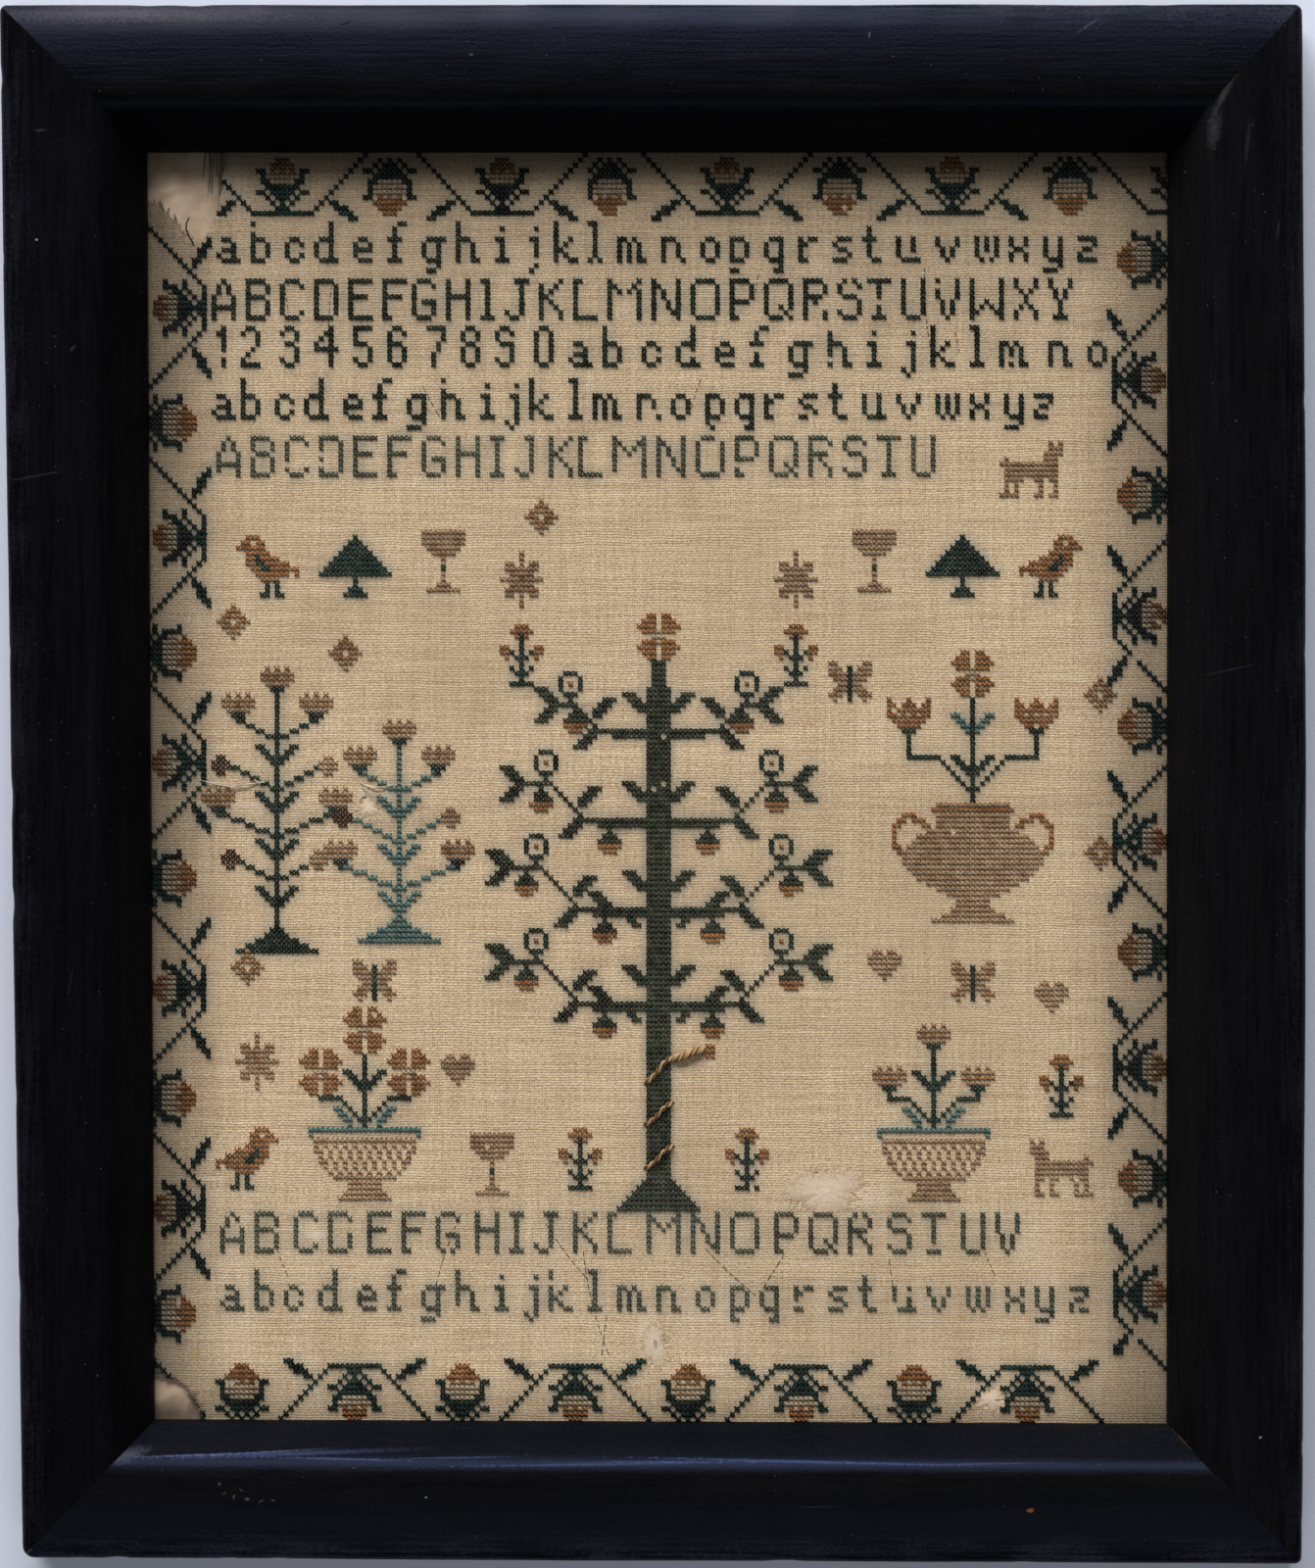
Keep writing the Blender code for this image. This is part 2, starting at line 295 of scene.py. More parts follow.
def shaded_and_toned(add, place, color, shade_and_toning=LIP_SHADE_AND_TONING):
    """Painted shade on cloth and stitches beside the lips, the most along the top, mixed with the grey of dust and
    smoke.
    """
    split = add("SeparateXYZ", place)
    for axis, start, end, low in shade_and_toning:
        color = add("Mix:MULTIPLY", 1.0, color, add("MapRange:SMOOTHSTEP", split.outputs[axis], start, end, low))
    return color


# Woven flax, roughness near 0.9 and no gloss: the ribs of both sets of threads are bump at their true pitch,
# with slubs, dusty blotches, one rust-yellow drop, and painted shade beside the frame's lips, mixed with the grey
# tone of age there.
def linen_material():
    material, add, place = new_material("plain_woven_linen")
    split = add("SeparateXYZ", place)
    across, along = split.outputs["X"], split.outputs["Y"]
    drift = add("TexNoise", place, 70.0, 2.0)
    wobble = add("Math:MULTIPLY", add("Math:SUBTRACT", drift, 0.5), 0.0016)
    weft, warp = (add("Math:SINE", add("Math:MULTIPLY", weighted(add, way, wobble), math.pi / pitch))
                  for way, pitch in ((along, WEFT_PITCH), (across, WARP_PITCH)))
    over_under = add("Math:MULTIPLY", weft, warp)
    weave = weighted(add, (add("Math:ABSOLUTE", weft), 0.55), (add("Math:ABSOLUTE", warp), 0.3), (over_under, 0.15))
    # Slubs: thick places in single threads, 15 to 40 mm long and one thread wide
    slubs = weighted(add, *((add("TexNoise", add("Mapping", place, Scale=run), 1.0, 3.0, 0.6), weight)
                            for run, weight in (((35.0, 900.0, 1.0), 0.6), ((900.0, 28.0, 1.0), 0.4))))
    fibre = add("TexNoise", place, 2600.0, 2.0)
    # Each crossing of the threads is a little lighter or darker than its neighbours
    knots = add("TexNoise", add("Mapping", place, Scale=(1100.0, 1500.0, 1.0)), 1.0, 2.0, 0.7)
    thread = add("MapRange", weighted(add, (slubs, 0.45), (knots, 0.55)), 0.38, 0.62)
    color = add("Mix", thread, linear("bd9467"), linear("fedeab"))
    color = add("Mix:MULTIPLY", 1.0, color, add("MapRange", weave, 0.05, 0.6, 0.45))
    # Blotches of dust and age, 30 to 80 mm across
    cloud = add("TexNoise", place, 16.0, 4.0, 0.55)
    age = add("MapRange", cloud, 0.46, 0.7, 0.0, 0.35)
    color = add("Mix", age, color, linear("b0916a"))
    # Pale upright water marks in the lower third, and a few rubbed places
    wash = add("TexNoise", add("Mapping", place, Scale=(95.0, 16.0, 1.0)), 1.0, 3.0)
    streaks = add("MapRange", wash, 0.5, 0.66, 0.0, 0.13)
    lower = add("MapRange", along, -0.1, -0.135)
    pale = add("Math:MULTIPLY", streaks, lower)
    for x, y, half_length, half_width, strength in SCUFFS:
        local = add("Mapping:TEXTURE", place, Location=(x * MM, y * MM, CLOTH_TOP),
                    Scale=(half_length * MM, half_width * MM, 0.01))
        scuff = add("MapRange", weighted(add, add("VectorMath:LENGTH", local), fibre), 1.6, 0.9, 0.0, strength)
        pale = add("Math:MAXIMUM", scuff, pale)
    color = add("Mix", pale, color, linear("f4dcb8"))
    # Dye that has bled from the dark stitches
    bled = add("Math:MULTIPLY", add("Attribute:dye").outputs["Fac"], add("Math:MULTIPLY", knots, 0.9))
    color = add("Mix", bled, color, linear("4a6660"))
    # Painted shade beside the lips, mixed with the grey tone of age
    color = shaded_and_toned(add, place, color)
    drop = add("VectorMath:DISTANCE", place, (-0.133, -0.1697, CLOTH_TOP))
    rust = add("MapRange", weighted(add, drop, (fibre, 0.0006)), 0.0021, 0.0013, 0.0, 0.7)
    color = add("Mix", rust, color, linear("a8904e"))
    relief = weighted(add, weave, (slubs, 0.9), (fibre, 0.25))
    finish_material(add, color, 0.92, relief, 0.7, 0.00016, Specular_IOR_Level=0.2, Sheen_Weight=0.12,
                    Sheen_Roughness=0.6)
    return material


holes = [torn_outline(hole) for hole in TORN.values()] + [corner_outline(corner) for corner in TORN_CORNERS]
rings = [torn_outline(hole, grow) for hole in TORN.values() for grow in (0.0024, 0.0011)]
linen = keep("linen_ground", sheet_mesh("linen_ground", CLOTH_CELL, cloth_height, LINEN_THICKNESS, holes, rings,
                                       [point for ring in rings for point in ring]), linen_material())
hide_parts("sampler_cloth")

# ---- The yarns and one cross -----------------------------------------------------------------------------
# Each cross is two short arched strands of hand-dyed wool or silk over two threads of the linen each way. The same
# tree of nodes sets one at every charted place, a little turned and uneven, as a hand leaves them.
CROSS_ACROSS = 0.0014434
CROSS_ALONG = 0.0015447
COLUMN_START = -0.14764      # where the first column and row lie
ROW_START = 0.18385
ROW_RISE = 0.00187           # how far a row rises for each metre to the right
COLUMN_LEAN = 0.0000035      # how far a column leans to the right with each row
COLUMNS, ROWS = 208, 242     # the last column and row inside the border


def cross_place(column, row):
    """Where the middle of a charted square lies on the cloth."""
    return (COLUMN_START + CROSS_ACROSS * column + COLUMN_LEAN * row,
            ROW_START - CROSS_ALONG * row + ROW_RISE * CROSS_ACROSS * column)


def new_tree(name, material, seeded=True, **sizes):
    """An empty tree of nodes with its named inputs. Gives the tree, the function that adds to it, and the inputs."""
    tree = bpy.data.node_groups.new(name, "GeometryNodeTree")
    floats = [(size.replace("_", " "), "Float", "INPUT") for size in sizes]
    for label, kind, way in [("Geometry", "Geometry", "INPUT"), *floats, *[("Seed", "Int", "INPUT")] * seeded,
                             (material, "Material", "INPUT"), ("Geometry", "Geometry", "OUTPUT")]:
        socket = tree.interface.new_socket(label, in_out=way, socket_type="NodeSocket" + kind)
        if kind == "Float":
            socket.default_value = sizes[label.replace(" ", "_")]
    return tree, partial(add_node, tree), tree.nodes.new("NodeGroupInput").outputs


def finish_tree(add, made, material):
    """The end of every tree: real geometry, its material and the output."""
    real = add("GeometryNodeRealizeInstances", made)
    add("NodeGroupOutput", add("GeometryNodeSetMaterial", real, Material=material))


def lean(add, given):
    """A small turn to either side, another for each point."""
    back = add("Math:MULTIPLY", given["Wander"], -1.0)
    return add("FunctionNodeRandomValue", back, given["Wander"], Seed=given["Seed"])


def cross_tree():
    """The nodes that set a cross on every point they are given."""
    tree, add, given = new_tree("crosses_on_points", "Yarn", Stitch_Across=CROSS_ACROSS,
                                Stitch_Along=0.86 * CROSS_ALONG, Yarn_Width=0.18, Arch=0.6, Wander=0.13,
                                Unevenness=0.09)
    # One strand in stitch-wide units, from corner to corner, sunk at both ends
    middle = add("CombineXYZ", Z=given["Arch"])
    path = add("GeometryNodeCurveQuadraticBezier", 2, (-0.45, -0.45, -0.12), middle, (0.45, 0.45, -0.12))
    ring = add("GeometryNodeCurvePrimitiveCircle", 4, given["Yarn Width"], mode="RADIUS")
    under = add("GeometryNodeCurveToMesh", path, ring, Fill_Caps=True)
    over = add("GeometryNodeTransform", under, Translation=(0, 0, 0.15), Rotation=(0, 0, math.pi / 2))
    cross = add("GeometryNodeJoinGeometry", under)
    tree.links.new(over.outputs[0], cross.inputs[0])
    uneven = [add("Math:" + way, 1.0, given["Unevenness"]) for way in ("SUBTRACT", "ADD")]
    fat = add("FunctionNodeRandomValue", *uneven, Seed=add("Math:ADD", given["Seed"], 7.0))
    across, along = (add("Math:MULTIPLY", given[size], fat) for size in ("Stitch Across", "Stitch Along"))
    placed = add("GeometryNodeInstanceOnPoints", given["Geometry"], Instance=add("GeometryNodeSetShadeSmooth", cross),
                 Rotation=add("CombineXYZ", Z=lean(add, given)), Scale=add("CombineXYZ", across, along, across))
    finish_tree(add, placed, given["Yarn"])
    return tree


CROSS_TREE = cross_tree()
dyed = []


def grown(name, points, tree, material, edges=(), ways=(), **inputs):
    """Runs a tree of nodes over points or lines, which may each have a way to turn, and gives the plain mesh."""
    mesh = bpy.data.meshes.new(name)
    mesh.from_pydata(points, list(edges), [])
    if ways:
        mesh.attributes.new("way", "FLOAT", "POINT").data.foreach_set("value", ways)
    seed_points = put_in(name, mesh)
    run = seed_points.modifiers.new("run", "NODES")
    run.node_group = tree
    for socket in tree.interface.items_tree:
        if socket.in_out == "INPUT" and socket.name.replace(" ", "_") in inputs:
            run[socket.identifier] = inputs[socket.name.replace(" ", "_")]
        elif socket.in_out == "INPUT" and socket.socket_type == "NodeSocketMaterial":
            run[socket.identifier] = material
    return settled(seed_points, name)


def stitch(name, cells, material, slot, **inputs):
    """Works a set of charted squares in one yarn, as one piece on the linen."""
    points = [(x, y, cloth_height(x, y)) for x, y in (cross_place(*square) for square in sorted(cells))
              if not any(inside(hole, Vector((x, y))) for hole in holes)]
    if slot == "green_yarn":
        dyed.extend(points)
    piece = keep(name, grown(name, points, CROSS_TREE, material, **inputs), material)


# Dyed wool, matt with a little sheen from its loose fibres. The dye took unevenly, so it drifts from stitch to stitch
# and along a length. Painted shade darkens each row's edges, so the tops of the strands read lighter, and the lips'
# painted shade falls on the stitches too; the twist is finer than the render shows.
def yarn_material(name, deep, faded, patch=26.0, shade=0.3):
    material, add, place = new_material(name)
    by_stitch = add("TexNoise", place, 420.0, 1.0)
    by_length = add("TexNoise", place, patch, 3.0)
    share = add("MapRange", weighted(add, (by_stitch, 0.5), (by_length, 0.5)), 0.36, 0.66)
    # The stitches take the painted shade beside the lips
    color = shaded_and_toned(add, place, add("Mix", share, linear(deep), linear(faded)))
    # Painted shade: between two rows of crosses, where the strands dip into the cloth, the colour is darkened
    turn = math.pi / CROSS_ALONG
    row = add("VectorMath:DOT_PRODUCT", place, (-ROW_RISE * turn, turn, 0.0))
    row = add("Math:ADD", row, -turn * (ROW_START - ROW_RISE * COLUMN_START))
    crown = add("Math:ABSOLUTE", add("Math:COSINE", row))
    color = add("Mix:MULTIPLY", 1.0, color, add("MapRange", crown, 0.3, 0.92, shade))
    fuzz = add("TexNoise", place, 3200.0, 2.0)
    finish_material(add, color, 0.85, fuzz, 0.5, 0.0001, Specular_IOR_Level=0.12, Sheen_Weight=0.03,
                    Sheen_Roughness=0.5)
    return material


GREEN_YARN = yarn_material("indigo_over_weld_green_wool", "08100b", "2a4a3c", shade=0.12)
LETTER_YARN = yarn_material("dark_green_wool_single_strand", "0a0d06", "3c4c36", shade=0.16)
PALE_GREEN_YARN = yarn_material("faded_green_wool", "446860", "7c9686")
TREE_YARN = yarn_material("bottle_green_wool", "11160c", "525b42", shade=0.03)
RUST_YARN = yarn_material("madder_brown_wool", "7e461a", "c48248")
CREAM_YARN = yarn_material("undyed_cream_wool", "ae906a", "e2caa0")
TAN_YARN = yarn_material("faded_rose_brown_wool", "926a46", "d0ac80")
GOLD_YARN = yarn_material("old_gold_silk", "8a683c", "caa674", shade=1.0)

# ---- The border ------------------------------------------------------------------------------------------
# A traditional running vine on all four sides: it swings in from the frame, runs straight for a few crosses and
# swings out again. A bud sits on each straight run and a bloom in each swing, worked in green, rust and cream.
def mirrored(halves):
    """The rows of a chart from its left half, which ends with the middle column."""
    return [half + half[-2::-1] for half in halves.split()]


BLOOM = mirrored("....rr ...rrr ..rrrr gg.rcr .gcccc .gtttt .ggccc ..gggg gg.ggg ..g.gg ...g.g")
BUD = mirrored("....rr ...rrr gg.rtr .gcccc .ggccc ..gggg gg.ggg ..g.gg ...g.g ....gg")
VINE_DEPTH = 11
LEAF = ((4, 9), (5, 9), (5, 10), (6, 10), (6, 11), (7, 10), (7, 11), (8, 11), (8, 12), (9, 12))
# Along each side: the middles of the straight runs and of the blooms, half a run, and how far out the blooms sit
SIDES = {"top": ((27, 72, 118, 164, 210), (49, 94, 141, 188), 6, 0),
         "bottom": ((-3, 42, 87, 133, 179), (19, 64, 110, 156), 5, 0),
         "left": ((29, 73, 116, 159, 201, 244), (51, 95, 138, 180, 221), 4, -2),
         "right": ((43, 88, 131, 174, 217), (20, 65, 109, 152, 195), 4, -1)}


def border_square(side, place, depth):
    """The charted square at a place along one side and a depth in from the frame."""
    return {"top": (place, depth), "bottom": (place, ROWS - depth), "left": (depth, place),
            "right": (COLUMNS - depth, place)}[side]


border = {}
for side, (runs, blooms, half, lift) in SIDES.items():
    for middle in runs:
        for off in range(-half - VINE_DEPTH - 1, half + VINE_DEPTH + 2):
            border[border_square(side, middle + off, VINE_DEPTH - max(0, abs(off) - half))] = "g"
        for hand in (-1, 1):
            for off, depth in LEAF:
                column, row = border_square(side, middle + hand * (off + half), depth)
                room = min(column, COLUMNS - column) if side in ("top", "bottom") else min(row, ROWS - row)
                if depth <= room - 3:
                    border[column, row] = "g"
    charts = [(BUD, middle, 1, 1) for middle in runs] + [(BLOOM, middle, VINE_DEPTH + lift, -1) for middle in blooms]
    for lines, middle, start, step in charts:
        for down, line in enumerate(lines):
            for off, yarn in enumerate(line):
                if yarn != ".":
                    border[border_square(side, middle + off - 5, start + step * down)] = yarn
lost = random.Random(41)
for square in sorted(border):
    column, row = square
    if not (-1 <= column <= COLUMNS + 1 and -1 <= row <= ROWS + 1) or lost.random() < 0.006:
        del border[square]
for seed, (name, yarns, wool, slot, width) in enumerate((("border_vine", "g", GREEN_YARN, "green_yarn", 0.22),
        ("border_flower_rust", "r", RUST_YARN, "brown_yarn", 0.18),
        ("border_flower_cream", "ct", CREAM_YARN, "cream_yarn", 0.18)), start=1):
    stitch(name, [square for square, yarn in border.items() if yarn in yarns], wool, slot, Seed=seed,
           Yarn_Width=width)

# ---- The alphabets and numerals --------------------------------------------------------------------------
# Plain practice rows, small letters five crosses high and capitals and numerals eight, in the places and greens of
# the rows that the old work has. The lower two rows and the fifth are thinner and more faded.
# A letter, then its rows of crosses from the top; the first row is as wide as the letter
LETTERS = """
a .##. ...# .### #..# .####
b #... # # ### #..# #..# #..# ###
c .##. #..# # #..# .##
d ...#. ...# ...# .### #..# #..# #..# .####
e .##. #..# #### # .###
f ..## .# .# ### .# .# .# ###
g .#### #..# #..# #..# .### ...# ###
h #.... # # ### #..# #..# #..# #..##
i .#. . ## .# .# .# ###
j ..# . .## ..# ..# ..# ..# #.# .#
k #.... # # #..# #.# ## #.# #..##
l ##. .# .# .# .# .# .# ###
m ##.#.. #.#.# #.#.# #.#.# #.#.##
n ###.. #..# #..# #..# #..##
o .##. #..# #..# #..# .##
p ###. #..# #..# #..# ### # ##
q .### #..# #..# #..# .### ...# ..##
r #.## ## # # ##
s .### # .## ...# ###
t .#.. .# ### .# .# .# ..##
u #..#. #..# #..# #..# .####
v #...# #...# .#.# .#.# ..#
w #.#.# #.#.# #.#.# #.#.# .#.#
x #..# #..# .## #..# #..#
y #..# #..# #..# #..# .### ...# ###
z #### ...# .## # ####
A ..#.. .#.# .#.# #...# #...# ##### #...# #...#
B ####. #...# #...# #### #...# #...# #...# ####
C .###. #...# # # # # #...# .###
D ####. #...# #...# #...# #...# #...# #...# ####
E ##### # # #### # # # #####
F ##### # # #### # # # ##
G .###. #...# # # #.### #...# #...# .###
H #...# #...# #...# ##### #...# #...# #...# #...#
I ### .# .# .# .# .# .# ###
J ..### ...# ...# ...# ...# ...# #..# .##
K #...# #..# #.# ## #.# #..# #...# #...#
L ##... # # # # # # #####
M #.....# ##...## #.#.#.# #..#..# #.....# #.....# #.....# #.....#
N #....# ##...# #.#..# #.#..# #..#.# #..#.# #...## #....#
O .####. #....# #....# #....# #....# #....# #....# .####
P ####. #...# #...# #...# #### # # ##
Q .####. #....# #....# #....# #....# #..#.# #...# .###.#
R ####. #...# #...# #### #.# #..# #...# #...#
S .###. #...# # .### ....# ....# #...# .###
T ##### ..# ..# ..# ..# ..# ..# .###
U #...# #...# #...# #...# #...# #...# #...# .###
V #...# #...# #...# #...# .#.# .#.# .#.# ..#
W #.....# #.....# #.....# #.....# #..#..# #.#.#.# ##...## #.....#
X #...# #...# .#.# ..# ..# .#.# #...# #...#
Y #...# #...# .#.# .#.# ..# ..# ..# .###
Z ##### ....# ...# ...# ..# .# # #####
1 ..# .## ..# ..# ..# ..# ..# ..#
2 .##. #..# ...# ...# ..# .# # ####
3 .##. #..# ...# .## ...# ...# #..# .##
4 ...#. ..## .#.# #..# ##### ...# ...# ...#
5 #### # # ### ...# ...# #..# .##
6 .##. #..# # ### #..# #..# #..# .##
7 #### ...# ...# ..# ..# .# .# .#
8 .##. #..# #..# .## #..# #..# #..# .##
9 .##. #..# #..# .### ...# ...# #..# .##
0 .##. #..# #..# #..# #..# #..# #..# .##
"""
DESCENDERS = "gjpqy"         # these hang two crosses below the line
CHARTS = {letter: rows for letter, *rows in (line.split() for line in LETTERS.strip().split("\n"))}


def letter_row(text, baseline, first, last, seed):
    """The squares of one row of letters, spread from the first column to the last, with a few crosses worn away."""
    worn = random.Random(seed)
    widths = [len(CHARTS[letter][0]) for letter in text]
    space = (last - first + 1 - sum(widths)) / (len(text) - 1)
    squares = set()
    column = float(first)
    for letter, width in zip(text, widths):
        top = baseline - len(CHARTS[letter]) + 1 + (2 if letter in DESCENDERS else 0)
        for down, line in enumerate(CHARTS[letter]):
            for off, mark in enumerate(line):
                if mark == "#" and worn.random() > 0.02:
                    squares.add((round(column) + off, top + down))
        column += width + space
    return squares


upper_rows = (letter_row("abcdefghijklmnopqrstuvwxyz", 20, 14, 193, 1)
              | letter_row("ABCDEFGHIJKLMNOPQRSTUVWXY", 31, 13, 188, 2)
              | letter_row("1234567890abcdefghijklmno", 40, 13, 195, 3)
              | letter_row("abcdefghijklmnopqrstuvwxyz", 50, 13, 184, 4))
stitch("letter_rows_dark", upper_rows, LETTER_YARN, "green_yarn", Seed=4, Yarn_Width=0.2)
lower_rows = (letter_row("ABCDEFGHIJKLMNOPQRSTU", 61, 14, 160, 5)
              | letter_row("ABCDEFGHIJKLMNOPQRSTUV", 209, 15, 177, 6)
              | letter_row("abcdefghijklmnopqrstuvwxyz", 220, 15, 191, 7))
FADED_LETTER_YARN = yarn_material("worn_green_wool_single_strand", "2c3222", "6c745c")
stitch("letter_rows_faded", lower_rows, FADED_LETTER_YARN, "green_yarn", Seed=5, Yarn_Width=0.155)

# ---- The tree and the small motifs -------------------------------------------------------------------------
# The field holds old stock figures of the craft in a layout of its own: one tall fruit tree on a mound, a handled
# pot, flower baskets, birds, goblets, little trees and stars, on both sides of it and not quite alike.
ROSE = mirrored("..rr. .rrr. rrrr. .rrrc ...cc .rrrc rrrr. .rrr. ..rr.")
STAR = mirrored("....n ....n .nn.n .nnnn ..nnn nnnnr ..nnn .nnnn .nn.n ....n ....n")
TULIP = mirrored("r...r rr.rr rrrrr rrcrc .rrrr ..rrr ...gg")
PINK = mirrored(".n.n nnnn nrnr .nnn ..gg ...g")
RING = mirrored(".gg g.. g.r g.. .gg")
ACORN = mirrored("..T .TT TTT rrr .rr")
BERRY = ".kk kkkk kkkk .kk".split()
SPRIG = mirrored("...rr ..rrr ...rg ....g rr..g rrg.g .r.gg ....g ..g.g ...gg ....g ..ggg")
BUTTERFLY = mirrored("nn... nnn.g nrnng .nnng ..nng .nnng nrn.g .n..g")
DIAMOND = mirrored("...n ..nr .nrn nrn. .nrn ..nr ...n")
HEART = mirrored(".rr. rrrr rrrr .rrr ..rr ...r")
BIRD = ("..bbb .bb.bb bbbbbb ..bbbbb ..bbgbbbb ..bbggbbbbb ...bbggbbbbbb ....bbbbbbb.b .....bbbb ......g.g "
                "......g.g .....gg.gg").split()
LAMB = ("n.n nnn nnnn .nnn.......n .nnnnnnnnnnnn .nnnnnnnnnnn .nnnnnnnnnnn .nn.nn..nnnn .n..n....n.n "
                ".n..n....n.n .nn.nn...nnnn").split()
GOBLET = mirrored("nnnnn nnnnn nnnnn .nnnn ..nnn ....n ....n ....g ....n ....n ...nn .nnnn")
PINE = mirrored("........g .......gg ......ggg .....gggg ....ggggg ...gggggg ..ggggggg .gggggggg ........g "
                "........g .......gg ......ggg")
BASKET = mirrored("pppppppppppp p........... .nnnnnnnnnnn .n.n.n.n.n.n .nn.n.n.n.n. ..n.n.n.n.n. ..nn.n.n.n.n "
                  "...n.n.n.n.n ....n.n.n.n. .....nnnnnnn ........nnnn ........nnnn .......nnnnn ......nnnnnn")
POT = mirrored("..........nnnnnnnn .........bbbbbbbbb ...bbb....nnnnnnnn ..bb.bbb..nnnnnnnn .bb....bb.nnnnnnnn "
               ".b......nnnnnnnnnn .b....nnnnnnnnnnnn .b...nnnnnnnnnnnnn .bb.nnnnnnnnnnnnnn ..bnnnnnnnnnnnnnnn "
               "...nnnnnnnnnnnnnnn ...nnnnnnnnnnnnnnn ....nnnnnnnnnnnnnn .....nnnnnnnnnnnnn ......nnnnnnnnnnnn "
               "........nnnnnnnnnn ..........nnnnnnnn ............nnnnnn ..............nnnn ..............nnnn "
               ".............nnnnn ...........nnnnnnn .........nnnnnnnnn")
MOUND = (3, 4, 5, 6, 7, 8)   # half its width, row by row
field = {}


def chart(lines, middle, top, flip=False, swap=""):
    """Puts a motif into the field by its middle column and top row. swap changes one yarn for another."""
    width = max(map(len, lines))
    for down, line in enumerate(lines):
        line = line.ljust(width, ".")[::-1 if flip else 1]
        for off, yarn in enumerate(line):
            if yarn != ".":
                field[middle + off - width // 2, top + down] = swap[1] if swap and yarn == swap[0] else yarn


def stem(points, yarn="g"):
    """A line of single crosses through the points."""
    for (x0, y0), (x1, y1) in zip(points, points[1:]):
        steps = max(abs(x1 - x0), abs(y1 - y0), 1)
        for step in range(steps + 1):
            field[round(x0 + (x1 - x0) * step / steps), round(y0 + (y1 - y0) * step / steps)] = yarn


def leaf(column, row, hand, yarn="g", up=-1, broad=0):
    """A slanting leaf that grows out from a square of a stem, and is broader by a number of squares."""
    for off, rise in ((1, 0), (1, 1), (2, 1), (2, 2), (3, 2), (3, 3), (4, 3)):
        for wide in range(broad + 1):
            field[column + hand * (off + wide), row + up * rise] = yarn


def fruit_tree(axis, top, foot):
    """The tall tree: a five-cross trunk on a mound, and four pairs of branches with broad leaves, rings and fruit."""
    for row in range(top, foot + len(MOUND)):
        half = MOUND[row - foot] if row >= foot else 1 if row < top + 5 else 2
        for off in range(-half, half + 1):
            field[axis + off, row] = "T"
    for tier, (row, reach, rise) in enumerate(((110, 20, 5), (127, 27, 7), (144, 30, 8), (162, 30, 8))):
        bend = 5 + (reach - rise) // 2
        tip, high = bend + rise, row - rise
        for hand in (-1, 1):
            def out(off):
                return axis + hand * off
            stem([(out(3), row + 1), (out(bend - 3), row + 1)], "T")
            stem([(out(3), row), (out(bend), row), (out(tip), high), (out(reach), high)], "T")
            for up in (-1, 1):
                leaf(out(reach), high, hand, "T", up, broad=1)
            leaf(out(bend + 2), row - 3, -hand, "T", broad=1)
            leaf(out(bend), row, hand, "T", up=1, broad=1)
            leaf(out(2), row - 4, hand, "T", broad=1)
            stem([(out(tip + 1), high), (out(tip + 1), high - 2)], "T")
            chart(RING, out(tip + 1), high - 6)
            chart(ACORN, out(reach - 3), high + 1)
            if tier:
                leaf(out(tip + 5), high, hand, "T", broad=1)
                chart(ACORN, out(bend - 5), row + 2)
            if tier in (2, 3):
                leaf(out(8), row, -hand, "T", up=1)
                leaf(out(9), row, hand, "T", broad=1)
    chart(ROSE, axis, top - 9)


def flower_basket(axis, top, head):
    """A woven basket with three stems, each with the same flower and a pair of leaves."""
    chart(BASKET, axis, top)
    stem([(axis, top - 1), (axis, top - 14)])
    chart(head, axis, top - 14 - len(head))
    for hand in (-1, 1):
        stem([(axis + hand, top - 2), (axis + hand * 5, top - 6), (axis + hand * 9, top - 6)])
        chart(head, axis + hand * 9, top - 6 - len(head))
        leaf(axis, top - 8, hand, "g")
        leaf(axis + hand * 2, top - 1, hand, "p")


def rose_tree(axis, top, foot, yarn="g"):
    """A slender plant on its own small mound: pairs of slanting twigs, each with a berry or a flower."""
    stem([(axis, top), (axis, foot)], yarn)
    for down, half in enumerate((1, 2, 4, 6, 8)):
        stem([(axis - half, foot + down), (axis + half, foot + down)], yarn)
    chart(PINK, axis, top - 6)
    for level, row in enumerate(range(top + 8, foot - 5, 9)):
        reach = 7 + 2 * (level % 3)
        for hand in (-1, 1):
            stem([(axis, row), (axis + hand * reach, row - 4)], yarn)
            if level % 2:
                chart(BERRY, axis + hand * (reach + 2), row - 6, swap="kn" if hand > 0 else "")
            else:
                chart(PINK, axis + hand * (reach + 1), row - 9)
            leaf(axis, row + 4, hand, yarn)


TREE_AXIS, POT_AXIS = 104, 168
fruit_tree(TREE_AXIS, 97, 196)
for hand in (-1, 1):
    for off, row, motif in ((44, 72, GOBLET), (62, 73, PINE), (28, 76, STAR), (80, 73, BIRD)):
        chart(motif, TREE_AXIS + hand * off, row, flip=hand > 0)
